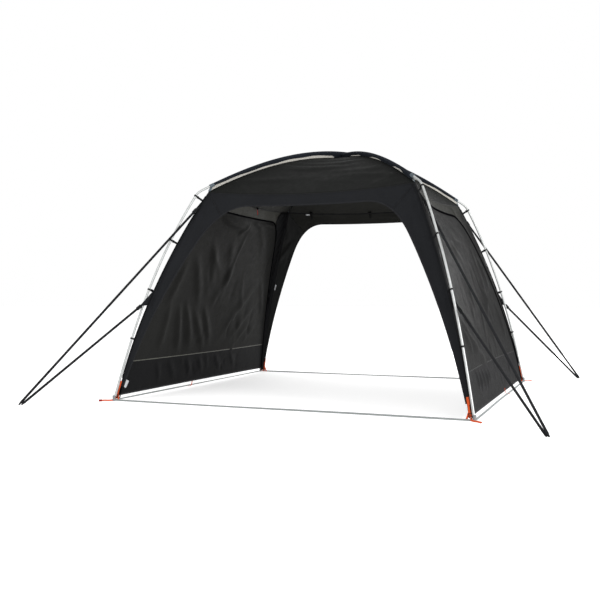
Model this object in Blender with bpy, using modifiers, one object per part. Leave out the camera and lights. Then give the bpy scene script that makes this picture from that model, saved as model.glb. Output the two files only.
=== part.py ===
"""Camp shelter: two crossed pole arches carry a square cloth roof with four arched sides.

Metres, +Z up. The origin is on the ground in the middle of the base, and the front faces -Y.
Both pole arches run along the diagonals, so a point on a pole or on a corner seam is given by
its reach, the size of its x and of its y alike, and its height.
"""
import math

import bpy
import bmesh
from mathutils import Matrix, Vector

# Pole arches
FOOT_REACH = 1.5
ELBOW_REACH = 0.988
ELBOW_HEIGHT = 1.785
ELBOW_BEND = 0.030
CROWN_HEIGHT = 2.225
CROWN_STEP = 0.021
ARCH_QUARTIC = 0.15
LEG_TOP_HEIGHT = 1.80
LEG_TOP_REACH = 0.9814
LEG_BULGE = 0.2416
LEG_SKEW = 0.0559
POLE_RADIUS = 0.0095
POLE_JOINT_GAP = 0.0006
JOINT_REACH = 0.885

# Feet
FOOT_RADIUS = 0.0125
FOOT_FLANGE_RADIUS = 0.015
FOOT_HEIGHT = 0.045
FOOT_GAP = 0.0004

# Cloth
CLOTH = 0.003
EAVE_HEIGHT = 1.790
SIDE_SAG = 0.045
HEM_SAG = {"front": 0.045, "right": 0.004, "rear": 0.045, "left": 0.045}
SAG_RISE = 0.70
EAVE_DIP = 0.045
DIP_START = 1.2
ROOF_BELOW_POLE = 0.029
ROOF_CORNER_DROP = 0.0127
CORNER_GAP = 0.0035
EAVE_GAP = 0.004
JOIN_GAP = 0.0012

# Arch in each side
ARCH_TOP = 1.675
ARCH_FLAT_REACH = 0.52
ARCH_ROUND_END = 1.36
MITRE = 0.55
OPEN_TIP_HEIGHT = 0.115
HEM_MIDDLE = {"left": 0.058, "right": 0.032}
HEM_END = {"left": 0.045, "right": 0.036}
HEM_CORNER = 0.016

# Sleeves over the roof poles
SLEEVE_RADIUS = 0.013
SLEEVE_CLOTH = 0.0026
SLEEVE_WRAP = 318
SLEEVE_INNER_REACH = 0.034
SLEEVE_OUTER_REACH = 0.912
WEB_LIFT = 0.0014
CROWN_PATCH_RADIUS = 0.042
CROWN_PATCH_CLOTH = 0.003

# Corner binding and its clips on the legs
TAPE_WIDTH = 0.018
WEBBING = 0.002
TAPE_CLEARANCE = 0.0022
TAPE_BOTTOM = 0.19
TAPE_TOP = 1.755
CLIP_HEIGHTS = (0.520, 0.935, 1.360, 1.752)
CLIP_WIDTH = 0.018
CLIP_CLOTH = 0.0024
CLIP_CLEARANCE = 0.0022

# Guys
PEG_REACH = 2.04
GUY_WIDTH = 0.020
GUY_CLOTH = 0.0024
GUY_OFFSET = 0.0155
GUY_SPACING = 0.0032
UPPER_GUY = {"patch": (1.735, 1.630), "tip": (0.995, 1.645), "peg_shift": 0.0}
LOWER_GUY = {"patch": (0.940, 0.800), "tip": (1.335, 0.805), "peg_shift": -0.02}

# Webbing at the ground
GROUND_STRAP_WIDTH = 0.015
GROUND_STRAP_CLOTH = 0.0016
GROUND_STRAP_REACH = 1.480
FOOT_STRAP_WIDTH = 0.018
HEM_LOOP_ACROSS = 0.27
HEM_LOOP_WIDTH = 0.016
# Points of the loops as (out from the hem, height); the right one lies over the strap on the ground
HEM_LOOP_PATH = {
    "left": [(0.003, 0.054), (0.012, 0.024), (0.024, 0.003), (0.046, 0.0026)],
    "right": [(0.002, 0.0286), (0.008, 0.014), (0.016, 0.0062), (0.040, 0.0055), (0.058, 0.0030)],
}

# Corner name with the signs of its x and y
CORNERS = {
    "front_left": (-1, -1),
    "front_right": (1, -1),
    "rear_right": (1, 1),
    "rear_left": (-1, 1),
}
UPPER_POLE_CORNERS = ("front_left", "rear_right")

# Side name with its turn about Z from the front
SIDES = {"front": 0, "right": 90, "rear": 180, "left": 270}
WALLED_SIDES = ("left", "right")


def clear_scene():
    for obj in list(bpy.data.objects):
        bpy.data.objects.remove(obj)


def new_collection(name):
    group = bpy.data.collections.new(name)
    bpy.context.scene.collection.children.link(group)
    return group


def make_material(name, color, roughness, metallic=0.0):
    material = bpy.data.materials.new(name)
    material.use_nodes = True
    shader = material.node_tree.nodes["Principled BSDF"]
    shader.inputs["Base Color"].default_value = (*color, 1.0)
    shader.inputs["Roughness"].default_value = roughness
    shader.inputs["Metallic"].default_value = metallic
    return material


def mix(a, b, t):
    return a * (1 - t) + b * t


def bezier(start, knee, end, t):
    return start * (1 - t) ** 2 + knee * 2 * t * (1 - t) + end * t ** 2


# Shapes that the pieces are made from

def link_mesh(name, bm, material, group):
    mesh = bpy.data.meshes.new(name)
    bm.to_mesh(mesh)
    bm.free()
    mesh.materials.append(material)
    obj = bpy.data.objects.new(name, mesh)
    group.objects.link(obj)
    return obj


def sheet(name, rows, thickness, material, group, offset=0.0, outward=None):
    """An open surface through rows of points, thickened about itself or behind its front.

    outward is a direction that the front of the sheet faces."""
    bm = bmesh.new()
    grid = [[bm.verts.new(point) for point in row] for row in rows]
    for low, high in zip(grid, grid[1:]):
        for a, b, c, d in zip(low, low[1:], high[1:], high):
            bm.faces.new((a, b, c, d))
    bm.normal_update()
    if outward is not None:
        facing = sum((face.normal * face.calc_area() for face in bm.faces), Vector())
        if facing.dot(outward) < 0:
            bmesh.ops.reverse_faces(bm, faces=list(bm.faces))
    obj = link_mesh(name, bm, material, group)
    solid = obj.modifiers.new("thickness", "SOLIDIFY")
    solid.thickness = thickness
    solid.offset = offset
    solid.use_even_offset = True
    return obj


def tube(name, points, radius, material, group):
    curve = bpy.data.curves.new(name, "CURVE")
    curve.dimensions = "3D"
    curve.bevel_depth = radius
    curve.bevel_resolution = 2
    curve.use_fill_caps = True
    spline = curve.splines.new("POLY")
    spline.points.add(len(points) - 1)
    for slot, point in zip(spline.points, points):
        slot.co = (*point, 1.0)
    curve.materials.append(material)
    obj = bpy.data.objects.new(name, curve)
    group.objects.link(obj)
    return obj


def upright_plate(name, outline, thickness, origin, along, material, group):
    """A flat outline, given along a level direction and up, in the upright plane through origin."""
    curve = bpy.data.curves.new(name, "CURVE")
    curve.dimensions = "2D"
    curve.fill_mode = "BOTH"
    curve.extrude = thickness / 2
    spline = curve.splines.new("POLY")
    spline.points.add(len(outline) - 1)
    for slot, (distance, height) in zip(spline.points, outline):
        slot.co = (distance, height, 0.0, 1.0)
    spline.use_cyclic_u = True
    curve.materials.append(material)
    obj = bpy.data.objects.new(name, curve)
    obj.location = origin
    obj.rotation_euler = (math.pi / 2, 0.0, math.atan2(along.y, along.x))
    group.objects.link(obj)
    return obj


def turned(name, profile, steps, location, material, group):
    """A profile of (radius, height) points, top to bottom on its outer side, turned about Z."""
    bm = bmesh.new()
    verts = [bm.verts.new((radius, 0.0, height)) for radius, height in profile]
    for a, b in zip(verts, verts[1:]):
        bm.edges.new((a, b))
    obj = link_mesh(name, bm, material, group)
    obj.location = location
    screw = obj.modifiers.new("turn", "SCREW")
    screw.angle = math.tau
    screw.steps = steps
    screw.render_steps = steps
    screw.use_merge_vertices = True
    screw.merge_threshold = 0.0001
    return obj


# The shelter's form

def at_corner(corner, reach, height):
    sx, sy = CORNERS[corner]
    return Vector((sx * reach, sy * reach, height))


def outward_of(corner):
    sx, sy = CORNERS[corner]
    return Vector((sx, sy, 0.0)).normalized()


def sideways_of(corner):
    """The level direction across a corner, towards the side of the pole that its guys pass on."""
    sx, sy = CORNERS[corner]
    return Vector((-sy, sx, 0.0)).normalized()


def leg_reach(height):
    """Reach of a bent leg's centreline, which leans in more and more towards the elbow."""
    u = height / LEG_TOP_HEIGHT
    lean = mix(FOOT_REACH, LEG_TOP_REACH, u)
    return lean + LEG_BULGE * u * (1 - u) - LEG_SKEW * u * (1 - u) * (1 - 2 * u)


def crown_of(corner):
    return CROWN_HEIGHT if corner in UPPER_POLE_CORNERS else CROWN_HEIGHT - CROWN_STEP


def roof_pole_height(reach, crown):
    s = reach / ELBOW_REACH
    drop = crown - ELBOW_HEIGHT
    return crown - drop * ((1 + ARCH_QUARTIC) * s ** 2 - ARCH_QUARTIC * s ** 4)


def corner_reach(height):
    """Reach of the cloth's corner seam."""
    return 1.485 - 0.164 * height - 0.084 * height ** 2


EAVE_REACH = corner_reach(EAVE_HEIGHT)


def roof_seam_height(reach):
    """Height of the roof's diagonal seams, which follow the lower pole."""
    lower_pole = roof_pole_height(reach, CROWN_HEIGHT - CROWN_STEP)
    return lower_pole - ROOF_BELOW_POLE - ROOF_CORNER_DROP * (reach / EAVE_REACH) ** 8


def arch_reach(height):
    """Half the width of the arch: the corner seam less a leg panel that widens upwards."""
    panel = 0.022 + 0.072 * height + 0.032 * height ** 2
    return corner_reach(height) - panel


def arch_corner(t):
    """The rounded upper corner of an arch, from the flat top (t = 0) to the edge (t = 1)."""
    start = Vector((ARCH_FLAT_REACH, ARCH_TOP))
    end = Vector((arch_reach(ARCH_ROUND_END), ARCH_ROUND_END))
    step = 0.01
    slope = (arch_reach(ARCH_ROUND_END + step) - end.x) / step
    knee = Vector((end.x + slope * (ARCH_TOP - ARCH_ROUND_END), ARCH_TOP))
    return bezier(start, knee, end, t)


def turn_to(side, x, y, z):
    return Matrix.Rotation(math.radians(SIDES[side]), 3, "Z") @ Vector((x, y, z))


def side_sag(side, height):
    """How far the middle of a side is pulled in at that height; the right one hangs straighter at its hem."""
    rise = min(1.0, height / SAG_RISE)
    return mix(HEM_SAG[side], SIDE_SAG, rise * (2 - rise))


def on_side(side, across, height):
    """A point of a side's cloth: how far across, and its height before the cloth dips."""
    half = corner_reach(height)
    bow = 1 - min(1.0, (across / half) ** 2)
    rise = max(0.0, (height - DIP_START) / (EAVE_HEIGHT - DIP_START))
    return turn_to(side, across, side_sag(side, height) * bow - half, height - EAVE_DIP * bow * rise ** 2)


def side_outward(side):
    return turn_to(side, 0.0, -1.0, 0.0)


# Cloth

def make_roof(side, material, group):
    """A quarter of the roof, from the crown to the eave, sagging between the diagonal seams."""
    steps = 11
    crown_reach = 0.012
    rows = []
    for i in range(steps + 1):
        reach = mix(crown_reach, EAVE_REACH - EAVE_GAP, i / steps)
        share = reach / EAVE_REACH
        row = []
        for j in range(-4, 5):
            w = j / 4
            bow = 1 - w * w
            x = w * (reach - CORNER_GAP)
            y = SIDE_SAG * bow * share ** 2 - reach
            z = roof_seam_height(reach) - EAVE_DIP * bow * (1 - (1 - share) ** 2)
            row.append(turn_to(side, x, y, z))
        rows.append(row)
    up = Vector((0.0, 0.0, 1.0))
    sheet(f"roof_{side}", rows, CLOTH, material, group, offset=-1.0, outward=up)


def make_header(side, material, group):
    """The band between the eave and the arch, mitred to the leg panels."""
    top = EAVE_HEIGHT - EAVE_GAP
    top_reach = corner_reach(top) - CORNER_GAP
    flat = [Vector((ARCH_FLAT_REACH * i / 5, ARCH_TOP)) for i in range(5)]
    rounded = [arch_corner(MITRE * i / 4) for i in range(5)]
    half = flat + rounded
    lower = [Vector((-p.x, p.y)) for p in reversed(half[1:])] + half
    last = len(lower) - 1
    columns = []
    for i, foot in enumerate(lower):
        head = Vector((mix(-top_reach, top_reach, i / last), top))
        foot = Vector((foot.x, foot.y + JOIN_GAP))
        columns.append([on_side(side, *foot.lerp(head, k / 3)) for k in range(4)])
    name = f"header_{side}"
    sheet(name, columns, CLOTH, material, group, offset=-1.0, outward=side_outward(side))


def leg_panel_edges(side):
    """Pairs of inner and outer edge points of a leg panel, from its foot to the mitre."""
    walled = side in WALLED_SIDES
    foot = HEM_END[side] if walled else OPEN_TIP_HEIGHT
    straight = 9
    rounded = 4
    top = EAVE_HEIGHT - EAVE_GAP
    edges = []
    for i in range(straight):
        z = mix(foot, ARCH_ROUND_END, i / straight)
        outer_z = HEM_CORNER if walled and i == 0 else z
        edges.append((Vector((arch_reach(z), z)), outer_z))
    for i in range(rounded + 1):
        inner = arch_corner(mix(1.0, MITRE, i / rounded))
        rise = (i / rounded) ** 0.8
        edges.append((inner, mix(inner.y, top, rise)))
    return [(inner, Vector((corner_reach(z) - CORNER_GAP, z))) for inner, z in edges]


def make_leg_panels(side, material, group):
    for end, hand in (("left", -1), ("right", 1)):
        rows = []
        for inner, outer in leg_panel_edges(side):
            points = [inner.lerp(outer, k / 3) for k in range(4)]
            rows.append([on_side(side, hand * p.x, p.y - JOIN_GAP) for p in points])
        name = f"leg_panel_{side}_{end}"
        sheet(name, rows, CLOTH, material, group, offset=-1.0, outward=side_outward(side))


def make_wall(side, material, group):
    """The zip-in wall that closes an arch down to its hem."""
    straight = 9
    rounded = 5
    edge = []
    for i in range(straight):
        z = mix(HEM_END[side], ARCH_ROUND_END, i / straight)
        edge.append(Vector((arch_reach(z), z)))
    edge += [arch_corner(1 - i / rounded) for i in range(rounded + 1)]
    rows = []
    for i, point in enumerate(edge):
        half = point.x - 2 * JOIN_GAP
        row = []
        for j in range(-6, 7):
            w = j / 6
            arch = (HEM_MIDDLE[side] - HEM_END[side]) * (1 - w * w) if i == 0 else 0.0
            row.append(on_side(side, half * w, point.y - 2 * JOIN_GAP + arch))
        rows.append(row)
    name = f"wall_{side}"
    sheet(name, rows, CLOTH, material, group, offset=-1.0, outward=side_outward(side))


def sleeve_profile(web_drop):
    """Open outline of the folded cloth: up the web, then round the pole."""
    points = [(0.0, -web_drop), (0.0, -(web_drop + SLEEVE_RADIUS) / 2)]
    for i in range(9):
        angle = math.radians(i * SLEEVE_WRAP / 8 - 90)
        points.append((SLEEVE_RADIUS * math.cos(angle), SLEEVE_RADIUS * math.sin(angle)))
    return points


def make_sleeve(corner, material, group):
    """Cloth folded round a roof pole, with a web below it down to the roof's seam."""
    steps = 15
    ahead = 0.01
    shortest_web = SLEEVE_RADIUS + 0.004
    crown = crown_of(corner)
    across = sideways_of(corner)
    rows = []
    for i in range(steps + 1):
        reach = mix(SLEEVE_INNER_REACH, SLEEVE_OUTER_REACH, i / steps)
        here = at_corner(corner, reach, roof_pole_height(reach, crown))
        there = at_corner(corner, reach + ahead, roof_pole_height(reach + ahead, crown))
        up = (there - here).normalized().cross(across)
        up = up if up.z > 0 else -up
        web_drop = (here.z - roof_seam_height(reach) - WEB_LIFT) * up.z
        outline = sleeve_profile(max(web_drop, shortest_web))
        rows.append([here + across * x + up * y for x, y in outline])
    sheet(f"sleeve_{corner}", rows, SLEEVE_CLOTH, material, group)


def make_crown_patch(material, group):
    """A round patch on the crown of the roof, under the crossing of the poles."""
    thickness = CROWN_PATCH_CLOTH
    bpy.ops.mesh.primitive_cylinder_add(vertices=16, radius=CROWN_PATCH_RADIUS, depth=thickness)
    obj = bpy.context.object
    obj.name = "crown_patch"
    obj.location = (0.0, 0.0, roof_seam_height(0.0) + thickness / 2 + 0.001)
    obj.data.materials.append(material)
    move_to(obj, group)


# Poles

def leg_points(corner):
    bend_start = ELBOW_HEIGHT - ELBOW_BEND
    bottom = FOOT_HEIGHT + FOOT_GAP
    heights = [mix(bottom, bend_start, i / 14) for i in range(15)]
    points = [at_corner(corner, leg_reach(z), z) for z in heights]
    crown = crown_of(corner)
    bend_end = ELBOW_REACH - ELBOW_BEND
    below = Vector((leg_reach(bend_start), bend_start))
    knee = Vector((ELBOW_REACH, ELBOW_HEIGHT))
    above = Vector((bend_end, roof_pole_height(bend_end, crown)))
    for i in range(1, 6):
        point = bezier(below, knee, above, i / 5)
        points.append(at_corner(corner, point.x, point.y))
    points.append(at_corner(corner, JOINT_REACH, roof_pole_height(JOINT_REACH, crown)))
    return points


def make_roof_pole(name, corner, material, group):
    """The part of an arch above its two legs, hidden in the sleeves but at the crown."""
    half_steps = 15
    end = JOINT_REACH - POLE_JOINT_GAP
    crown = crown_of(corner)
    reaches = [end * i / half_steps for i in range(half_steps, -half_steps - 1, -1)]
    points = [at_corner(corner, r, roof_pole_height(abs(r), crown)) for r in reaches]
    tube(name, points, POLE_RADIUS, material, group)


def make_foot(corner, material, group):
    """The turned end cap that a leg stands on."""
    profile = [
        (0.0, FOOT_HEIGHT),
        (FOOT_RADIUS - 0.002, FOOT_HEIGHT),
        (FOOT_RADIUS, FOOT_HEIGHT - 0.003),
        (FOOT_RADIUS, 0.010),
        (FOOT_FLANGE_RADIUS, 0.006),
        (FOOT_FLANGE_RADIUS, 0.0),
        (0.0, 0.0),
    ]
    turned(f"foot_{corner}", profile, 16, at_corner(corner, FOOT_REACH, 0.0), material, group)


# Webbing

def tape_distance(height):
    """Distance of the corner binding from the shelter's axis, just outside the corner seam."""
    return corner_reach(height) * math.sqrt(2) + TAPE_CLEARANCE


def make_clip(corner, height, cutters):
    """A short strap from the corner binding, hooked round the leg."""
    outward = outward_of(corner)
    side = sideways_of(corner)
    step = 0.02
    pole = at_corner(corner, leg_reach(height), height)
    above = at_corner(corner, leg_reach(height + step), height + step)
    along = (above - pole).normalized()
    out = (outward - along * outward.dot(along)).normalized()
    gap = 0.0
    for _ in range(8):
        end = pole - out * gap
        gap += (end.dot(outward) - tape_distance(end.z)) * 0.7
    radius = POLE_RADIUS + CLIP_CLEARANCE + CLIP_CLOTH / 2
    overlap = 0.0015
    path = [(-gap - overlap, 0.0), (-radius - 0.004, 0.0)]
    for i in range(9):
        angle = math.radians(194 + i * 276 / 8)
        path.append((radius * math.cos(angle), radius * math.sin(angle)))
    rows = []
    for level in (-CLIP_WIDTH / 2, CLIP_WIDTH / 2):
        rows.append([pole + out * e + side * n + along * level for e, n in path])
    clip = sheet(f"clip_{corner}_{height:.2f}", rows, CLIP_CLOTH, None, cutters)
    clip.hide_render = True
    clip.display_type = "WIRE"
    return clip


def make_corner_tape(corner, material, group, cutters):
    """Binding down a corner seam, in one piece with the clips that hold it to the leg."""
    outward = outward_of(corner)
    side = sideways_of(corner)
    steps = 12
    rows = []
    for i in range(steps + 1):
        height = mix(TAPE_BOTTOM, TAPE_TOP, i / steps)
        middle = outward * tape_distance(height) + Vector((0.0, 0.0, height))
        rows.append([middle + side * n for n in (-TAPE_WIDTH / 2, TAPE_WIDTH / 2)])
    name = f"corner_tape_{corner}"
    tape = sheet(name, rows, WEBBING, material, group, offset=1.0, outward=outward)
    for height in CLIP_HEIGHTS:
        clip = make_clip(corner, height, cutters)
        join = tape.modifiers.new(clip.name, "BOOLEAN")
        join.operation = "UNION"
        join.solver = "EXACT"
        join.object = clip


def guy_outline(guy):
    """A three-cornered patch on the corner, a straight strap with its buckle, and the peg hook."""
    diagonal = math.sqrt(2)
    tip = Vector((guy["tip"][0] * diagonal, guy["tip"][1]))
    peg = Vector((PEG_REACH * diagonal + guy["peg_shift"], 0.0005))
    run = (peg - tip).normalized()
    cross = Vector((-run.y, run.x))
    strap = cross * GUY_WIDTH / 2
    buckle = cross * GUY_WIDTH * 0.7
    hook = cross * GUY_WIDTH * 0.8
    buckle_start = tip + run * 0.020
    buckle_end = tip + run * 0.062
    hook_start = peg - run * 0.060
    patch_inset = TAPE_CLEARANCE - GUY_OFFSET
    patch = [Vector((corner_reach(z) * diagonal + patch_inset, z)) for z in guy["patch"]]
    upper = [tip + strap, buckle_start + strap, buckle_start + buckle, buckle_end + buckle]
    upper += [buckle_end + strap, hook_start + strap, hook_start + hook]
    lower = [hook_start - hook, hook_start - strap, buckle_end - strap, buckle_end - buckle]
    lower += [buckle_start - buckle, buckle_start - strap, tip - strap]
    return [patch[0], *upper, peg + Vector((0.0, 0.004)), peg, *lower, patch[1]]


def make_guys(corner, material, group):
    """Two straps from a corner down to one peg point, passing beside the pole."""
    outward = outward_of(corner)
    sideways = sideways_of(corner)
    for name, guy, offset in (
        ("guy_lower", LOWER_GUY, GUY_OFFSET),
        ("guy_upper", UPPER_GUY, GUY_OFFSET + GUY_SPACING),
    ):
        origin = sideways * offset
        outline = guy_outline(guy)
        upright_plate(f"{name}_{corner}", outline, GUY_CLOTH, origin, outward, material, group)


def make_ground_strap(side, material, group):
    bpy.ops.mesh.primitive_cube_add(size=1)
    obj = bpy.context.object
    obj.name = f"ground_strap_{side}"
    obj.scale = (2 * GROUND_STRAP_REACH, GROUND_STRAP_WIDTH, GROUND_STRAP_CLOTH)
    obj.location = turn_to(side, 0.0, -FOOT_REACH, GROUND_STRAP_CLOTH / 2 + 0.0002)
    obj.rotation_euler = (0.0, 0.0, math.radians(SIDES[side]))
    obj.data.materials.append(material)
    move_to(obj, group)


def make_foot_strap(corner, material, group):
    """Adjuster webbing from the open side's leg panel down past the foot, with its free end."""
    middle = [
        ((1.4456, 1.4600, 0.165), (1.0, 0.0)),
        ((1.4560, 1.4690, 0.100), (1.0, 0.0)),
        ((1.4650, 1.4790, 0.050), (1.0, 0.0)),
        ((1.4735, 1.4905, 0.016), (1.0, 0.0)),
        ((1.4740, 1.5140, 0.004), (0.95, -0.30)),
        ((1.5050, 1.5420, 0.003), (0.71, -0.71)),
        ((1.5650, 1.5900, 0.003), (0.55, -0.83)),
    ]
    sx, sy = CORNERS[corner]
    rows = []
    for hand in (-1, 1):
        row = []
        for (x, y, z), (wx, wy) in middle:
            half = hand * FOOT_STRAP_WIDTH / 2
            row.append(Vector((sx * (x + wx * half), sy * (y + wy * half), z)))
        rows.append(row)
    sheet(f"foot_strap_{corner}", rows, WEBBING, material, group)


def make_hem_loop(side, material, group):
    """A peg loop near the middle of a wall's hem, down to the ground."""
    hem = corner_reach(HEM_MIDDLE[side]) - side_sag(side, HEM_MIDDLE[side])
    rows = []
    for hand in (-1, 1):
        across = HEM_LOOP_ACROSS + hand * HEM_LOOP_WIDTH / 2
        rows.append([turn_to(side, across, -(hem + out), z) for out, z in HEM_LOOP_PATH[side]])
    sheet(f"hem_loop_{side}", rows, WEBBING, material, group)


def move_to(obj, group):
    for owner in list(obj.users_collection):
        owner.objects.unlink(obj)
    group.objects.link(obj)


def main():
    clear_scene()
    group = new_collection("camp_shelter")
    cutters = new_collection("camp_shelter_joined_pieces")
    roof_cloth = make_material("roof_cloth", (0.030, 0.031, 0.030), 0.75)
    wall_cloth = make_material("wall_cloth", (0.065, 0.065, 0.062), 0.8)
    sleeve_cloth = make_material("sleeve_cloth", (0.016, 0.019, 0.024), 0.7)
    steel = make_material("steel", (0.60, 0.61, 0.60), 0.3, 0.9)
    cap_plastic = make_material("cap_plastic", (0.45, 0.46, 0.46), 0.5)
    black_webbing = make_material("black_webbing", (0.018, 0.019, 0.022), 0.8)
    pale_webbing = make_material("pale_webbing", (0.42, 0.44, 0.44), 0.85)
    orange_webbing = make_material("orange_webbing", (0.75, 0.10, 0.03), 0.75)

    for side in SIDES:
        make_roof(side, roof_cloth, group)
        make_header(side, roof_cloth, group)
        make_leg_panels(side, roof_cloth, group)
        make_ground_strap(side, pale_webbing, group)
    for side in WALLED_SIDES:
        make_wall(side, wall_cloth, group)
        make_hem_loop(side, orange_webbing, group)
    for corner in CORNERS:
        make_foot(corner, cap_plastic, group)
        tube(f"leg_{corner}", leg_points(corner), POLE_RADIUS, steel, group)
        make_sleeve(corner, sleeve_cloth, group)
        make_corner_tape(corner, black_webbing, group, cutters)
        make_guys(corner, black_webbing, group)
        make_foot_strap(corner, orange_webbing, group)
    make_roof_pole("roof_pole_upper", "front_left", steel, group)
    make_roof_pole("roof_pole_lower", "front_right", steel, group)
    make_crown_patch(black_webbing, group)


main()
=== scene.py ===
import math

import bmesh
import bpy
import numpy as np
from mathutils import Matrix, Vector


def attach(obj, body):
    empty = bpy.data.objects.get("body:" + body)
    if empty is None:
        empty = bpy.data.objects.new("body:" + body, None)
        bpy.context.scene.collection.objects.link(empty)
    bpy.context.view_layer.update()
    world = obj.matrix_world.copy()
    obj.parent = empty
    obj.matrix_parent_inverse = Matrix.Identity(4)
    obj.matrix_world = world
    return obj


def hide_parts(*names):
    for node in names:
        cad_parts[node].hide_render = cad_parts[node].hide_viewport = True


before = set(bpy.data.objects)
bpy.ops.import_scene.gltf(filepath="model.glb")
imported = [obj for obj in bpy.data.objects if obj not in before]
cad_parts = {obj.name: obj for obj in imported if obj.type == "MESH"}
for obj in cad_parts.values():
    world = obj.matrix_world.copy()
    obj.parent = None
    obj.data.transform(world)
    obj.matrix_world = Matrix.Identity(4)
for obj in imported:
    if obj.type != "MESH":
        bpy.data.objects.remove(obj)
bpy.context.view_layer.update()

# The camera, fitted to the photograph, with its turn, tilt and roll in radians
CAMERA_PLACE = (2.4965, -7.426, 0.878)
CAMERA_TURN, CAMERA_TILT, CAMERA_ROLL = -0.3739, -0.0041, 0.0031
CAMERA_LENS = 49.956
FLOOR_GAP = 0.0005

# The shelter's form, in metres, as in the part's source
FOOT_REACH = 1.5
ELBOW_REACH = 0.988
ELBOW_HEIGHT = 1.785
ELBOW_BEND = 0.030
CROWN_HEIGHT = 2.225
CROWN_STEP = 0.021
CROWN_PATCH_RADIUS = 0.042
ARCH_QUARTIC = 0.15
LEG_TOP_HEIGHT = 1.80
LEG_TOP_REACH = 0.9814
LEG_BULGE = 0.2416
LEG_SKEW = 0.0559
POLE_RADIUS = 0.0095
JOINT_REACH = 0.885
FOOT_HEIGHT = 0.045
CORNER_FOOT, CORNER_LEAN, CORNER_CURVE = 1.485, 0.164, 0.084
PANEL_FOOT, PANEL_FLARE, PANEL_CURVE = 0.022, 0.072, 0.032
EAVE_HEIGHT = 1.790
SIDE_SAG = 0.045
HEM_SAG = {"front": 0.045, "right": 0.004, "rear": 0.045, "left": 0.045}
SAG_RISE = 0.70
EAVE_DIP = 0.045
DIP_START = 1.2
ROOF_BELOW_POLE = 0.029
ROOF_CORNER_DROP = 0.0127
ARCH_TOP = 1.675
ARCH_FLAT_REACH = 0.52
ARCH_ROUND_END = 1.36
MITRE = 0.55
OPEN_TIP_HEIGHT = 0.115
HEM_MIDDLE = {"left": 0.058, "right": 0.032}
HEM_END = {"left": 0.045, "right": 0.036}
HEM_CORNER = 0.016
SLEEVE_RADIUS = 0.0135
SLEEVE_INNER_REACH = {"upper": 0.0, "lower": 0.011}
SLEEVE_OUTER_REACH = 0.912
TAPE_CLEARANCE = 0.0022
TAPE_BOTTOM = 0.19
TAPE_TOP = 1.755
CLIP_HEIGHTS = (0.520, 0.935, 1.360, 1.752)
PEG_REACH = 2.04
GUY_WIDTH = 0.020
GUY_OFFSET = 0.0155
GUY_SPACING = 0.0032
UPPER_GUY = {"patch": (1.735, 1.630), "tip": (0.995, 1.645), "peg_shift": 0.0}
LOWER_GUY = {"patch": (0.940, 0.800), "tip": (1.335, 0.805), "peg_shift": -0.02}
GROUND_STRAP_REACH = 1.480
HEM_LOOP_ACROSS = 0.27
# Points of the peg loops as (out from the hem, height)
HEM_LOOP_PATH = {
    "left": [(0.000, 0.082), (0.005, 0.052), (0.012, 0.024), (0.024, 0.004), (0.046, 0.0030)],
    "right": [
        (0.000, 0.056), (0.004, 0.026), (0.010, 0.012), (0.018, 0.0062), (0.040, 0.0055), (0.058, 0.0030),
    ],
}

# Details that only this script has
SLEEVE_POCKET = 0.024
SLEEVE_POCKET_END = 0.009
SLEEVE_TAPER_START, SLEEVE_TAPER_LENGTH = 0.55, 0.36
WEB_INNER_REACH = 0.058
WEB_GATHER = 0.022
# Places on the lower pole's sleeves where the web shows, as (reach, half-width)
WEB_WINDOWS = ((0.20, 0.07), (0.47, 0.08), (0.74, 0.06))
SEAM_HEIGHT = 0.325
# Heights, widths and depths of the dark sheet inside each corner of a walled side, which paints the shade in
# those corners
SHADE_SHEET_HEIGHTS = (0.6, 1.2, 1.6, 1.7, EAVE_HEIGHT)
SHADE_SHEET_WIDTHS = (0.03, 0.09, 0.30, 0.34, 0.24)
SHADE_SHEET_DEPTHS = (0.0034, 0.0105)
CLIP_WIDTH = 0.018
CLIP_RING_GAP = 0.0032
# Turn of the webbing between the buckle and the hook, in degrees
GUY_TWIST = {"front_left": 0, "front_right": 70, "rear_right": -17, "rear_left": 0}
GROUND_STRAP_WIDTH = 0.015
GROUND_STRAP_TILT = 52
FOOT_STRAP_TOP = 0.165
# Corners of the webbing's parts at a foot, before they slide, as (across, out, height)
FOOT_WEBBING = {
    "upper": [
        (1.4456, 1.4600, 0.165), (1.4560, 1.4690, 0.100), (1.4650, 1.4790, 0.050), (1.4700, 1.4850, 0.030),
    ],
    "lower": [
        (1.4660, 1.4810, 0.046), (1.4715, 1.4880, 0.024), (1.4760, 1.4950, 0.008), (1.4700, 1.5000, 0.0030),
    ],
    "back": [
        (1.4590, 1.4720, 0.078), (1.4560, 1.4760, 0.055), (1.4470, 1.4840, 0.026), (1.4400, 1.4890, 0.0060),
        (1.4370, 1.4905, 0.0035),
    ],
    "tail": [
        (1.4735, 1.4930, 0.014), (1.4800, 1.5120, 0.0075), (1.5050, 1.5420, 0.0065), (1.5300, 1.5640, 0.0095),
        (1.5520, 1.5800, 0.0070), (1.5650, 1.5900, 0.0065),
    ],
}
FOOT_BUCKLE_PLACE = (1.4688, 1.4838, 0.036)
FOOT_RING_PLACE = (1.4770, 1.4930, 0.0145)
FOOT_RING_RADIUS = 0.0115
# Ladder buckles, as (rails' distance from the middle, rail's size, bar's size, bars' places as shares)
GUY_BUCKLE = (
    GUY_WIDTH * 0.64, (0.046, 0.0045, 0.0055), (GUY_WIDTH * 1.3, 0.0045, 0.004), (-0.44, -0.14, 0.16, 0.46),
)
FOOT_BUCKLE = (0.0125, (0.034, 0.0045, 0.006), (0.028, 0.0042, 0.0045), (-0.45, -0.12, 0.2, 0.47))
GUY_BUCKLE_REACH = 0.037
HOOK_LENGTH = 0.030
PEG_HEIGHT = 0.0025
# How far a foot's webbing slides across at the foot and at its top
FOOT_STRAP_SLIDE = {
    "front_left": (0.024, 0.012), "front_right": (0.0, -0.004),
    "rear_right": (0.010, 0.012), "rear_left": (-0.018, -0.022),
}
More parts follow.
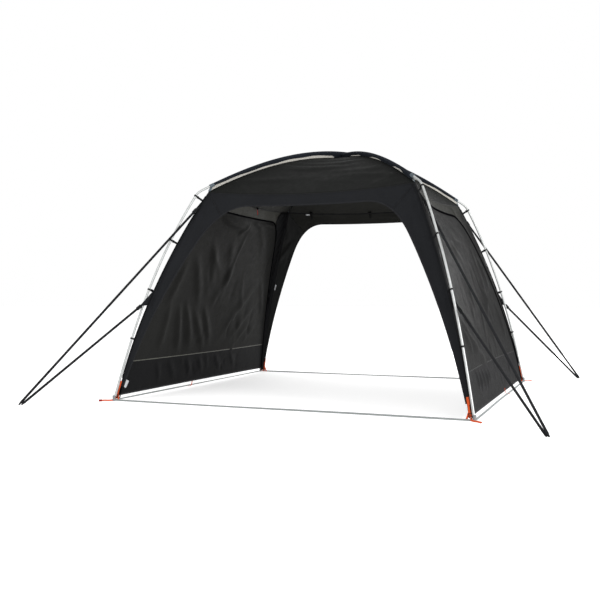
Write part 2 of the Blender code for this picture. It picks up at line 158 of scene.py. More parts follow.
# Tapes on the cloth, as (lift from the cloth, width, thickness); a lift below zero is on the inside
ARCH_BINDING = (0.0, 0.012, 0.0036)
HEM_BINDING = (0.0, 0.014, 0.0036)
ZIP_TAPE = {"outside": (0.0040, 0.022, 0.0050), "inside": (-0.0050, 0.015, 0.0050)}
WALL_SEAM = {"outside": (0.0008, 0.008, 0.0012), "inside": (-0.0018, 0.008, 0.0012)}
EAVE_SEAM = {"outside": (0.0008, 0.010, 0.0014), "inside": (-0.0020, 0.010, 0.0014)}
MITRE_SEAM = (0.0007, 0.009, 0.0012)
ROOF_SEAM_WIDTH = 0.012
CORNER_BINDING = (TAPE_CLEARANCE + 0.001, 0.018, 0.0024)
CORNER_SEAM = (-0.0022, 0.020, 0.0016)
INNER_CORNER_SEAM = (-0.020, 0.036, 0.0016)
EDGE_INSET = 0.004
# Lengths that repeat in the cloths' patterns
CLOTH_THREAD, WEB_THREAD, STITCH, WEBBING_RIB, ZIP_TOOTH = 0.0016, 0.0014, 0.0045, 0.003, 0.0019
CLOTH_THICKNESS = 0.0009
SEWN_EDGE = 0.015

# Corners, sides and directions
DIAGONAL = math.sqrt(2)
CORNERS = {"front_left": (-1, -1), "front_right": (1, -1), "rear_right": (1, 1), "rear_left": (-1, 1)}
UPPER_POLE_CORNERS = ("front_left", "rear_right")
SIDES = {"front": 0, "right": 90, "rear": 180, "left": 270}
WALLED_SIDES = ("left", "right")
HANDS = (("left", -1), ("right", 1))
UP = np.array([0.0, 0.0, 1.0])

# The materials by name, filled in once the camera stands
LOOKS = {}


# Camera, light and floor

def new_object(name, data):
    obj = bpy.data.objects.new(name, data)
    bpy.context.scene.collection.objects.link(obj)
    return obj


def make_camera():
    turn, tilt, roll = CAMERA_TURN, CAMERA_TILT, CAMERA_ROLL
    forward = Vector((math.sin(turn) * math.cos(tilt), math.cos(turn) * math.cos(tilt), math.sin(tilt)))
    level = Vector((math.cos(turn), -math.sin(turn), 0.0))
    above = level.cross(forward)
    right = level * math.cos(roll) + above * math.sin(roll)
    top = above * math.cos(roll) - level * math.sin(roll)
    pose = Matrix((right, top, -forward)).transposed().to_4x4()
    pose.translation = CAMERA_PLACE
    data = bpy.data.cameras.new("camera")
    data.lens = CAMERA_LENS
    data.sensor_width = 36.0
    data.clip_end = 200.0
    camera = new_object("camera", data)
    camera.matrix_world = pose
    bpy.context.scene.camera = camera


def area_light(name, place, aim, size, power):
    data = bpy.data.lights.new(name, "AREA")
    data.shape = "SQUARE"
    data.size = size
    data.energy = power
    lamp = new_object(name, data)
    lamp.location = place
    lamp.rotation_euler = (Vector(aim) - Vector(place)).to_track_quat("-Z", "Y").to_euler()


def make_light():
    world = bpy.data.worlds.new("studio")
    world.use_nodes = True
    background = world.node_tree.nodes["Background"]
    background.inputs["Color"].default_value = (1.0, 1.0, 1.0, 1.0)
    background.inputs["Strength"].default_value = 1.0
    bpy.context.scene.world = world
    bpy.context.scene.view_settings.view_transform = "Standard"
    area_light("key", (7.5, -3.0, 3.0), (0.3, 0.0, 1.2), 3.0, 520)
    area_light("fill", (-2.5, -7.5, 4.0), (0.0, 0.0, 1.2), 4.0, 170)
    area_light("back", (0.9, 6.2, 1.6), (-1.2, 0.2, 1.0), 1.6, 240)


def make_floor():
    bm = bmesh.new()
    bmesh.ops.create_circle(bm, cap_ends=True, radius=60.0, segments=96)
    mesh = bpy.data.meshes.new("floor")
    bm.to_mesh(mesh)
    bm.free()
    floor = new_object("floor", mesh)
    floor.location.z = -FLOOR_GAP
    mesh.materials.append(floor_material())


# Materials

class Graph:
    """Short calls for the nodes of one material."""

    def __init__(self, name, color, roughness, metallic=0.0, sheen=0.0, specular=0.5):
        self.material = bpy.data.materials.new(name)
        self.material.use_nodes = True
        self.tree = self.material.node_tree
        self.shader = self.tree.nodes["Principled BSDF"]
        self.finish("Base Color", color)
        self.finish("Roughness", roughness)
        self.finish("Metallic", metallic)
        self.finish("Sheen Weight", sheen)
        self.finish("Sheen Roughness", 0.5)
        self.finish("Specular IOR Level", specular)

    def finish(self, socket, value):
        self.set(self.shader.inputs[socket], value)

    def set(self, socket, value):
        if hasattr(value, "is_linked"):
            self.tree.links.new(value, socket)
        elif socket.type == "RGBA":
            socket.default_value = (*value, 1.0)
        else:
            socket.default_value = value

    def node(self, kind, inputs, output=0, **settings):
        """Adds a node, with its inputs set or linked, and gives one of its outputs."""
        node = self.tree.nodes.new("ShaderNode" + kind)
        for name, value in settings.items():
            setattr(node, name, value)
        for name, value in inputs.items():
            self.set(node.inputs[name], value)
        return node.outputs[output]

    def math(self, operation, *values, clamp=False):
        return self.node("Math", dict(enumerate(values)), operation=operation, use_clamp=clamp)

    def mix(self, a, b, amount):
        return self.node("Mix", {"Factor": amount, "A": a, "B": b}, "Result", data_type="RGBA")

    def shades(self, color, dark, pale, amount):
        return self.mix(tinted(color, dark), tinted(color, pale), amount)

    def scale(self, value, low, high, new_low=0.0, new_high=1.0):
        ends = {"From Min": low, "From Max": high, "To Min": new_low, "To Max": new_high}
        return self.node("MapRange", {**ends, "Value": value}, "Result")

    def split(self, vector):
        return self.node("SeparateXYZ", {0: vector}).node.outputs

    def uv(self):
        """Distance across and along the piece, in metres."""
        return self.node("UVMap", {}, "UV")

    def place(self):
        return self.node("TexCoord", {}, "Object")

    def stretched(self, vector, scale):
        return self.node("Mapping", {"Vector": vector, "Scale": scale})

    def noise(self, vector, scale, detail=4.0, roughness=0.55, distortion=0.0):
        look = {"Scale": scale, "Detail": detail, "Roughness": roughness, "Distortion": distortion}
        return self.node("TexNoise", {"Vector": vector, **look}, "Fac")

    def wave(self, value, period):
        return self.math("SINE", self.math("MULTIPLY", value, 2 * math.pi / period))

    def weave(self, across, along, period):
        return self.math("MULTIPLY", self.wave(across, period), self.wave(along, period))

    def bump(self, height, distance, strength):
        """Adds a relief of that depth, in metres, over the ones before it."""
        normal = self.shader.inputs["Normal"]
        inputs = {"Strength": strength, "Distance": distance, "Height": height}
        if normal.is_linked:
            inputs["Normal"] = normal.links[0].from_socket
        self.set(normal, self.node("Bump", inputs))


def tinted(color, amount):
    return tuple(channel * amount for channel in color)


def floor_material():
    g = Graph("studio_floor", (0.7, 0.7, 0.7), 0.8, specular=0.1)
    g.finish("Base Color", g.mix((0.68, 0.68, 0.68), (0.72, 0.72, 0.72), g.noise(g.place(), 0.6)))
    g.finish("Emission Color", (1.0, 1.0, 1.0))
    g.finish("Emission Strength", 0.5)
    return g.material


def cloth_material(name, color, roughness=0.62, crumple=1.0, skirt=None, dust=0.0, specular=0.04):
    """Woven cloth with uneven dye, fine crumples and a plain weave.

    skirt is the colour below the wall's seam, and dust the share of pale dust at the ground."""
    g = Graph(name, color, roughness, sheen=0.008, specular=specular)
    across, along, _ = g.split(g.uv())
    place = g.place()
    mottle = g.scale(g.noise(place, 2.4), 0.3, 0.7)
    crease = g.noise(place, 19.0, 5.0, 0.6, 0.6)
    threads = g.weave(across, along, CLOTH_THREAD)
    body = g.shades(color, 0.88, 1.12, mottle)
    if skirt:
        below = g.math("LESS_THAN", along, SEAM_HEIGHT)
        body = g.mix(body, g.shades(skirt, 0.9, 1.1, mottle), below)
    body = g.mix(body, (0.0, 0.0, 0.0), g.scale(threads, -1.0, 1.0, 0.12, 0.0))
    if dust:
        low = g.scale(g.split(place)[2], 0.02, 0.22, dust, 0.0)
        body = g.mix(body, (0.09, 0.085, 0.075), g.math("MULTIPLY", low, crease, clamp=True))
    g.finish("Base Color", body)
    g.finish("Roughness", g.scale(crease, 0.3, 0.7, roughness - 0.07, roughness + 0.08))
    g.bump(crease, 0.006 * crumple, 0.35)
    g.bump(g.noise(g.stretched(place, (1.0, 1.0, 0.35)), 75.0, 3.0), 0.0012 * crumple, 0.3)
    g.bump(threads, 0.00025, 0.4)
    return g.material


def webbing_material(name, color):
    """Flat webbing: a herringbone of ribs, with paler worn spots."""
    g = Graph(name, color, 0.75, sheen=0.02, specular=0.1)
    across, along, _ = g.split(g.uv())
    zigzag = g.math("ABSOLUTE", g.wave(across, 0.011))
    ribs = g.wave(g.math("ADD", along, g.math("MULTIPLY", zigzag, 0.0035)), WEBBING_RIB)
    worn = g.noise(g.place(), 35.0)
    body = g.shades(color, 0.72, 1.2, g.scale(ribs, -1.0, 1.0))
    g.finish("Base Color", g.mix(body, tinted(color, 1.5), g.scale(worn, 0.5, 0.8, 0.0, 0.4)))
    g.bump(ribs, 0.0005, 0.6)
    g.bump(worn, 0.001, 0.15)
    return g.material


def binding_material(name, color, thread, rows=(-0.0035, 0.0035), roughness=0.7):
    """Folded binding tape with rows of stitches at the given distances from its middle."""
    g = Graph(name, color, roughness, sheen=0.02, specular=0.08)
    uv = g.uv()
    across, along, _ = g.split(uv)
    dash = g.math("LESS_THAN", g.math("FRACT", g.math("DIVIDE", along, STITCH)), 0.68)
    stitches = None
    for row in rows:
        near = g.math("LESS_THAN", g.math("ABSOLUTE", g.math("SUBTRACT", across, row)), 0.00045)
        near = g.math("MULTIPLY", near, dash)
        stitches = near if stitches is None else g.math("MAXIMUM", stitches, near)
    body = g.shades(color, 0.85, 1.2, g.scale(g.noise(g.place(), 28.0), 0.3, 0.7))
    g.finish("Base Color", g.mix(body, thread, stitches))
    g.bump(g.noise(g.stretched(uv, (12.0, 70.0, 1.0)), 1.0, 2.0), 0.002, 0.35)
    g.bump(g.wave(along, 0.0014), 0.0002, 0.3)
    g.bump(stitches, 0.0006, 0.8)
    return g.material


def web_material():
    """Pale cloth gathered into ribs across its length."""
    color = (0.40, 0.385, 0.35)
    g = Graph("gathered_web", color, 0.7, sheen=0.1, specular=0.2)
    across, along, _ = g.split(g.uv())
    uneven = g.math("MULTIPLY", g.noise(g.place(), 9.0, 2.0), 0.02)
    ribs = g.wave(g.math("ADD", along, uneven), 0.011)
    threads = g.weave(across, along, WEB_THREAD)
    body = g.shades(color, 0.72, 1.12, g.scale(ribs, -1.0, 1.0))
    g.finish("Base Color", g.mix(body, tinted(color, 0.6), g.scale(threads, -1.0, 1.0, 0.2, 0.0)))
    g.bump(ribs, 0.0022, 0.6)
    g.bump(threads, 0.0003, 0.4)
    return g.material


def zip_material():
    """Zip tape with a coil down its middle."""
    g = Graph("zip_tape", (0.004, 0.004, 0.0045), 0.8, specular=0.0)
    across, along, _ = g.split(g.uv())
    coil = g.math("LESS_THAN", g.math("ABSOLUTE", across), 0.0032)
    teeth = g.scale(g.wave(along, ZIP_TOOTH), -1.0, 1.0, 0.2)
    ribs = g.scale(g.wave(across, 0.0021), -1.0, 1.0, 0.0, 0.25)
    relief = g.math("ADD", g.math("MULTIPLY", coil, teeth), ribs)
    g.finish("Base Color", g.mix((0.0014, 0.0014, 0.0018), (0.005, 0.005, 0.006), g.scale(relief, 0.0, 1.2)))
    g.finish("Roughness", g.scale(coil, 0.0, 1.0, 0.85, 0.55))
    g.bump(relief, 0.0009, 0.7)
    return g.material


def steel_material():
    """Galvanised tube, with faint drawing lines along it and a mottled coat."""
    color = (0.40, 0.41, 0.405)
    g = Graph("galvanised_steel", color, 0.4, metallic=0.55, specular=0.3)
    lines = g.noise(g.stretched(g.uv(), (900.0, 9.0, 1.0)), 1.0, 3.0)
    coat = g.noise(g.place(), 60.0, 5.0, 0.65)
    body = g.shades(color, 0.82, 1.12, g.scale(coat, 0.35, 0.65))
    g.finish("Base Color", g.mix(body, tinted(color, 0.7), g.scale(lines, 0.5, 0.8, 0.0, 0.35)))
    g.finish("Roughness", g.scale(coat, 0.3, 0.7, 0.32, 0.52))
    g.bump(lines, 0.0002, 0.25)
    return g.material


def plastic_material(name, color, roughness=0.45):
    """Moulded plastic with a fine spark texture and scuffs."""
    g = Graph(name, color, roughness, specular=0.07)
    place = g.place()
    scuff = g.noise(place, 140.0, 5.0, 0.7)
    g.finish("Base Color", g.shades(color, 0.85, 1.35, g.scale(scuff, 0.5, 0.75, 0.0, 0.6)))
    g.finish("Roughness", g.scale(scuff, 0.35, 0.7, roughness - 0.08, roughness + 0.15))
    g.bump(g.noise(place, 1400.0, 2.0), 0.0002, 0.3)
    return g.material


def make_materials():
    return {
        "roof": cloth_material("roof_cloth_outside", (0.0080, 0.0084, 0.0080)),
        "roof_inside": cloth_material("roof_cloth_inside", (0.022, 0.022, 0.020)),
        "side_header": cloth_material("side_header_cloth", (0.0200, 0.0200, 0.0176)),
        # Paler header inside on the walled sides: painted light shining through the cloth
        "painted_light_inside": cloth_material("header_cloth_lit_through", (0.040, 0.0395, 0.034)),
        "heavy": cloth_material("heavy_cloth_outside", (0.0100, 0.0106, 0.0120), 0.7, 0.8, dust=0.04),
        "side_heavy": cloth_material("side_panel_cloth", (0.0150, 0.0150, 0.0147), 0.7, 0.8, dust=0.06),
        "heavy_inside": cloth_material("heavy_cloth_inside", (0.0235, 0.0240, 0.0235), 0.66, 0.8),
        "side_inside": cloth_material("side_panel_inside", (0.0100, 0.0102, 0.0110), 0.7, 0.8),
        # Painted shade for the inside corners of the walled sides
        "dark": cloth_material("corner_shade_cloth", (0.0050, 0.0052, 0.0058), 0.7, 1.2),
        "wall": cloth_material(
            "wall_cloth_outside", (0.0165, 0.0165, 0.0165), 0.66, skirt=(0.0160, 0.0160, 0.0166), dust=0.06,
            specular=0.012,
        ),
        # Inside, the wall above its seam is paler than the skirt below: the skirt is its own panel, and the
        # paler upper cloth is partly painted light shining through it
        "wall_inside": cloth_material(
            "wall_cloth_inside", (0.0122, 0.0122, 0.0116), 0.66, skirt=(0.0072, 0.0073, 0.0078),
            specular=0.016,
        ),
        "sleeve": cloth_material("sleeve_cloth_woven", (0.0105, 0.0125, 0.0165), 0.7, 0.6),
        "label": cloth_material("blank_label", (0.50, 0.51, 0.52), 0.6, 0.2),
        "tab": binding_material(
            "sleeve_end_webbing", (0.075, 0.092, 0.105), (0.16, 0.17, 0.18), (-0.007, 0.007),
        ),
        "seam": binding_material("felled_seam", (0.0066, 0.0069, 0.0078), (0.0100, 0.0102, 0.0110)),
        "side_seam": binding_material("felled_side_seam", (0.015, 0.015, 0.015), (0.028, 0.028, 0.028)),
        "seam_tape": binding_material(
            "sealing_tape", (0.062, 0.062, 0.052), (0.050, 0.050, 0.044), (0.0,), 0.5,
        ),
        "binding": binding_material("edge_binding", (0.0085, 0.009, 0.0105), (0.020, 0.020, 0.021)),
        "corner_binding": binding_material(
            "corner_binding", (0.0060, 0.0062, 0.0068), (0.018, 0.018, 0.018), (-0.006, 0.006),
        ),
        "web": web_material(),
        "zip": zip_material(),
        "steel": steel_material(),
        "cap": plastic_material("pole_cap_plastic", (0.20, 0.205, 0.21)),
        "black_plastic": plastic_material("buckle_plastic", (0.006, 0.006, 0.0065), 0.4),
        # Painted shade on the curled end of the front left foot's tail
        "shaded_tail_end": plastic_material("painted_shade_tail_end", (0.26, 0.010, 0.008)),
        "black_webbing": webbing_material("guy_webbing", (0.0070, 0.0075, 0.0085)),
        "pale_webbing": webbing_material("base_webbing", (0.22, 0.235, 0.235)),
        "orange": webbing_material("orange_webbing_woven", (0.56, 0.080, 0.019)),
        "red_tape": webbing_material("red_tape_woven", (0.35, 0.015, 0.012)),
    }


# Meshes

def unit(vectors):
    return vectors / np.maximum(np.linalg.norm(vectors, axis=-1, keepdims=True), 1e-12)


def mix(a, b, t):
    return a * (1 - t) + b * t


def pairs(first, second):
    return np.stack(np.broadcast_arrays(first, second), -1)


def smooth_step(value):
    value = np.clip(value, 0.0, 1.0)
    return value * value * (3 - 2 * value)


def travelled(points):
    """Distance along rows of points, from the first."""
    steps = np.linalg.norm(np.diff(points, axis=0), axis=-1)
    return np.concatenate([np.zeros((1, *steps.shape[1:])), np.cumsum(steps, axis=0)])


def resampled(points, count):
    """Evenly spaced points on a line through the given ones."""
    points = np.asarray(points, float)
    far = travelled(points)
    at = np.linspace(0.0, far[-1], count)
    return np.stack([np.interp(at, far, column) for column in points.T], -1)


def rounded(points, count):
    """A smooth line near the given corners, with its ends kept."""
    points = np.asarray(points, float)
    for _ in range(2):
        cut = [[mix(a, b, 0.25), mix(a, b, 0.75)] for a, b in zip(points, points[1:])]
        points = np.concatenate([points[:1], *cut, points[-1:]])
    return resampled(points, count)


def curve(start, knee, end, t):
    """Points at the shares t of a bend."""
    t = np.asarray(t, float)[..., None]
    start, knee, end = np.array([start, knee, end])
    return start * (1 - t) ** 2 + knee * 2 * t * (1 - t) + end * t ** 2


def circle(radius, count):
    turn = np.linspace(0, 2 * math.pi, count, endpoint=False)
    return pairs(np.cos(turn), np.sin(turn)) * radius


class Shape:
    """Gathers the parts of one piece, then makes its mesh with a UV map in metres."""

    def __init__(self):
        self.points, self.faces, self.uvs, self.slots = [], [], [], []
        self.count = 0

    def add(self, points, faces, uvs, slot=0):
        """uvs has one pair for each corner of each face, in order."""
        self.points.append(points)
        self.faces += [tuple(i + self.count for i in face) for face in faces]
        self.uvs.append(np.asarray(uvs, float))
        self.slots += [slot] * len(faces)
        self.count += len(points)

    def grid(self, points, uv, flip=False):
        rows, columns = points.shape[:2]
        index = np.arange(rows * columns).reshape(rows, columns)
        quads = np.stack([index[:-1, :-1], index[:-1, 1:], index[1:, 1:], index[1:, :-1]], -1).reshape(-1, 4)
        if flip:
            quads = quads[:, ::-1]
        self.add(points.reshape(-1, 3), quads.tolist(), uv.reshape(-1, 2)[quads].reshape(-1, 2))

    def sweep(self, path, side, section, slot=0, size=1.0, closed=False):
        """Carries a closed outline of (side, out) points along a path."""
        if closed:
            along = unit(np.roll(path, -1, 0) - np.roll(path, 1, 0))
        else:
            along = unit(np.gradient(path, axis=0))
        side = np.broadcast_to(side, path.shape)
        side = unit(side - along * (side * along).sum(-1, keepdims=True))
        out = np.cross(along, side)
        section = np.asarray(section, float)
        size = np.broadcast_to(size, len(path))[:, None, None]
        points = path[:, None] + size * (side[:, None] * section[:, :1] + out[:, None] * section[:, 1:])
        far = travelled(path)
        around = travelled(np.concatenate([section, section[:1]]))
        flat = np.abs(section[:, 1]).max() < 0.35 * np.abs(section[:, 0]).max()
        count, ring = points.shape[:2]
        faces, uvs = [], []
        for i in range(count if closed else count - 1):
            k = (i + 1) % count
            v0, v1 = far[i], far[k] if k else far[i] + far[1]
            for j in range(ring):
                n = (j + 1) % ring
                faces.append((i * ring + j, i * ring + n, k * ring + n, k * ring + j))
                u0, u1 = (section[j, 0], section[n, 0]) if flat else (around[j], around[j + 1])
                uvs += [(u0, v0), (u1, v0), (u1, v1), (u0, v1)]
        if not closed:
            for start, order in ((0, range(ring - 1, -1, -1)), ((count - 1) * ring, range(ring))):
                faces.append(tuple(start + j for j in order))
                uvs += [tuple(section[j]) for j in order]
        self.add(points.reshape(-1, 3), faces, uvs, slot)

    def strap(self, path, side, width, thickness, slot=0, size=1.0):
        w, t = width / 2, thickness / 2
        e = min(t, w * 0.4)
        half = [(-w, -t * 0.4), (-w + e, -t), (0, -t), (w - e, -t), (w, -t * 0.4)]
        self.sweep(path, side, half + [(-x, -y) for x, y in half], slot, size)

    def block(self, middle, x, y, size, slot=0):
        """A bar with cut edges and drawn-in ends, its length along x and its width along y."""
        half_x, half_y, half_z = (s / 2 for s in size)
        e = min(half_y, half_z) * 0.4
        half = [(-half_y, -half_z + e), (-half_y + e, -half_z), (half_y - e, -half_z), (half_y, -half_z + e)]
        steps = np.array([-half_x, e * 0.5 - half_x, half_x - e * 0.5, half_x])
        path = middle + x * steps[:, None]
        self.sweep(path, y, half + [(-u, -v) for u, v in half], slot, (0.9, 1.0, 1.0, 0.9))

    def rod(self, path, radius, sides, hint, slot=0, size=1.0, closed=False):
        self.sweep(path, hint, circle(radius, sides), slot, size, closed)

    def make(self, name, looks, replaced=(), sharp=40):
        mesh = bpy.data.meshes.new(name)
        mesh.from_pydata(np.concatenate(self.points).tolist(), [], self.faces)
        layer = mesh.uv_layers.new(name="UVMap")
        layer.data.foreach_set("uv", np.concatenate(self.uvs).astype(np.float32).ravel())
        for look in looks:
            mesh.materials.append(LOOKS[look])
        mesh.polygons.foreach_set("material_index", self.slots)
        mesh.polygons.foreach_set("use_smooth", [True] * len(mesh.polygons))
        mesh.set_sharp_from_angle(angle=math.radians(sharp))
        mesh.validate()
        mesh.update()
        piece = new_object(name, mesh)
        if replaced:
            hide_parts(*replaced)
        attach(piece, "root")
        return piece


def strap_piece(name, path, side, width, thickness, look, replaced=()):
    shape = Shape()
    shape.strap(path, side, width, thickness)
    shape.make(name, [look], replaced)


def smallest_rectangle(points):
    """Width and length of the smallest rectangle round a nearly flat patch."""
    flat = points.reshape(-1, 3) - points.reshape(-1, 3).mean(0)
    first, second = np.linalg.svd(flat, full_matrices=False)[2][:2]
    turn = np.radians(np.arange(90))[:, None]
    across = flat @ (np.cos(turn) * first + np.sin(turn) * second).T
    along = flat @ (np.cos(turn) * second - np.sin(turn) * first).T
    sizes = pairs(np.ptp(across, axis=0), np.ptp(along, axis=0))
    return sorted(sizes[sizes.prod(-1).argmin()].tolist())


def declare_sheet(points, slanted=False):
    """Works out a sheet's flat size from its grid before it was folded; nothing further is done with it.

    Its flat size is its longest sides or, for a slanted patch, the smallest rectangle round it."""
    length = float(travelled(points)[-1].max())
    width = float(travelled(points.transpose(1, 0, 2))[-1].max())
    if slanted:
        width, length = smallest_rectangle(points)


def thicken(piece, thickness, offset):
    solid = piece.modifiers.new("thickness", "SOLIDIFY")
    solid.thickness = thickness
    solid.offset = offset
    return solid


def plain_sheet(name, points, uv, look, held_by=(), thickness=CLOTH_THICKNESS, offset=0.0,
                replaced=(), slanted=False):
    """One small sheet of cloth, with no folds but those in its points."""
    shape = Shape()
    shape.grid(points, uv)
    piece = shape.make(name, [look], replaced, sharp=180)
    thicken(piece, thickness, offset)
    if held_by:
        declare_sheet(points, slanted)
    return piece


def folds(across, along, lines):
    """Relief of crests, each a row as in the tables of folds."""
    relief = np.zeros_like(across)
    for u0, v0, u1, v1, rise, wide0, wide1, bend in lines:
        du, dv = u1 - u0, v1 - v0
        length = math.hypot(du, dv)
        t = ((across - u0) * du + (along - v0) * dv) / length ** 2
        off = ((across - u0) * dv - (along - v0) * du) / length
        inside = np.clip(t, 0.0, 1.0)
        off = off - bend * 4 * inside * (1 - inside)
        x = off / (wide0 + (wide1 - wide0) * inside)
        x = np.where(x > 0, x * 0.60, x * 0.82)
        fade = smooth_step((t + 0.04) / 0.42) * smooth_step((1.04 - t) / 0.42)
        relief += rise * 1.4 * fade * np.exp(-x * x)
    return relief


def cloth(name, points, uv, lines, outward, looks, node, edge=0.05, pinned="btlr",
          rise=1):
    """One sheet of cloth: a smooth surface with folds that die out at its sewn edges."""
    normal = unit(np.cross(np.gradient(points, axis=1), np.gradient(points, axis=0)))
    normal = normal * np.sign((normal @ outward).sum())
    along = travelled(points)
    across = travelled(points.transpose(1, 0, 2)).T
    inset = {"b": along, "t": along[-1:] - along, "l": across, "r": across[:, -1:] - across}
    mask = math.prod(smooth_step((inset[key] - SEWN_EDGE) / edge) for key in pinned)
    relief = rise * folds(uv[..., 0], uv[..., 1], lines)
    i, j = (n // 2 for n in points.shape[:2])
    front = np.cross(points[i, j + 1] - points[i, j], points[i + 1, j] - points[i, j])
    shape = Shape()
    shape.grid(points + normal * (relief * mask)[..., None], uv, flip=bool(front @ normal[i, j] < 0))
    piece = shape.make(name, looks, [node], sharp=180)
    thicken(piece, CLOTH_THICKNESS, -1.0).material_offset = 1
    declare_sheet(points)


# The shelter's form

def at_corner(corner, reach, height):
    sx, sy = CORNERS[corner]
    reach, height = np.broadcast_arrays(np.asarray(reach, float), np.asarray(height, float))
    return np.stack([sx * reach, sy * reach, height], -1)


def outward_of(corner):
    return np.array([*CORNERS[corner], 0.0]) / DIAGONAL


def sideways_of(corner):
    sx, sy = CORNERS[corner]
    return np.array([-sy, sx, 0.0]) / DIAGONAL


def leg_reach(height):
    u = height / LEG_TOP_HEIGHT
    lean = mix(FOOT_REACH, LEG_TOP_REACH, u)
    return lean + LEG_BULGE * u * (1 - u) - LEG_SKEW * u * (1 - u) * (1 - 2 * u)


def crown_of(corner):
    return CROWN_HEIGHT if corner in UPPER_POLE_CORNERS else CROWN_HEIGHT - CROWN_STEP


def roof_pole_height(reach, crown):
    s = reach / ELBOW_REACH
    return crown - (crown - ELBOW_HEIGHT) * ((1 + ARCH_QUARTIC) * s ** 2 - ARCH_QUARTIC * s ** 4)


def corner_reach(height):
    return CORNER_FOOT - CORNER_LEAN * height - CORNER_CURVE * height ** 2


EAVE_REACH = corner_reach(EAVE_HEIGHT)


def roof_seam_height(reach):
    lower_pole = roof_pole_height(reach, CROWN_HEIGHT - CROWN_STEP)
    return lower_pole - ROOF_BELOW_POLE - ROOF_CORNER_DROP * (reach / EAVE_REACH) ** 8


def up_corner(corner, height, lift):
    """A line up a corner's seam, at that distance outside it."""
    out = corner_reach(height) * DIAGONAL + lift
    return outward_of(corner) * out[:, None] + UP * height[:, None]


def arch_reach(height):
    return corner_reach(height) - (PANEL_FOOT + PANEL_FLARE * height + PANEL_CURVE * height ** 2)


def arch_corner(t):
    step = 0.01
    end = arch_reach(ARCH_ROUND_END)
    slope = (arch_reach(ARCH_ROUND_END + step) - end) / step
    knee = end + slope * (ARCH_TOP - ARCH_ROUND_END)
    return curve((ARCH_FLAT_REACH, ARCH_TOP), (knee, ARCH_TOP), (end, ARCH_ROUND_END), t)


def turn_to(side, x, y, z):
    angle = math.radians(SIDES[side])
    x, y, z = np.broadcast_arrays(*(np.asarray(a, float) for a in (x, y, z)))
    cos, sin = math.cos(angle), math.sin(angle)
    return np.stack([x * cos - y * sin, x * sin + y * cos, z], -1)


def side_sag(side, height):
    rise = np.minimum(1.0, height / SAG_RISE)
    return mix(HEM_SAG[side], SIDE_SAG, rise * (2 - rise))


def on_side(side, across, height):
    half = corner_reach(height)
    bow = 1 - np.minimum(1.0, (across / half) ** 2)
    rise = np.maximum(0.0, (height - DIP_START) / (EAVE_HEIGHT - DIP_START))
    return turn_to(side, across, side_sag(side, height) * bow - half, height - EAVE_DIP * bow * rise ** 2)


def side_outward(side):
    return turn_to(side, 0.0, -1.0, 0.0)


def facing(side, across, height):
    """Directions square to a side's cloth, outward."""
    step = 0.004
    level = on_side(side, across + step, height) - on_side(side, across - step, height)
    rise = on_side(side, across, height + step) - on_side(side, across, height - step)
    normal = unit(np.cross(level, rise))
    return normal * np.sign(normal @ side_outward(side))[..., None]


def arch_edge(foot, count):
    """The arch's edge from its right foot over the top to the left foot, as (across, height)."""
    z = np.linspace(foot, ARCH_ROUND_END, 40, endpoint=False)
    bend = arch_corner(np.linspace(1, 0, 24, endpoint=False))
    flat = pairs(np.linspace(ARCH_FLAT_REACH, 0, 16), ARCH_TOP)
    half = np.concatenate([pairs(arch_reach(z), z), bend, flat])
    return resampled(np.concatenate([half, half[::-1][1:] * (-1, 1)]), count)


# Folds seen on each panel's cloth: (across and height of the start, the same of the end, rise, half-width at
# the start and at the end, bend). Those of the leg panels have no bend.

def scattered(seed, *groups):
    """Small folds, each group round one direction, for the parts where no single fold stands out.

    A group is (count, lowest and highest middle, angle, its spread, length, rise, half-width)."""
    lines = []
    for number, (count, low, high, angle, spread, length, rise, width) in enumerate(groups):
        dice = np.random.default_rng(seed + number)
        for _ in range(count):
            middle = dice.uniform(low, high)
            turn = math.radians(angle + dice.normal(0, spread))
            half = np.array([math.cos(turn), math.sin(turn)]) * length * dice.uniform(0.5, 1.3) / 2
            size = width * dice.uniform(0.7, 1.5)
            height = rise * dice.uniform(0.4, 1.2) * dice.choice((-1, 1))
            end_size = size * dice.uniform(0.6, 1.4)
            bend = length * dice.uniform(-0.06, 0.06)
            lines.append((*(middle - half), *(middle + half), height, size, end_size, bend))
    return lines


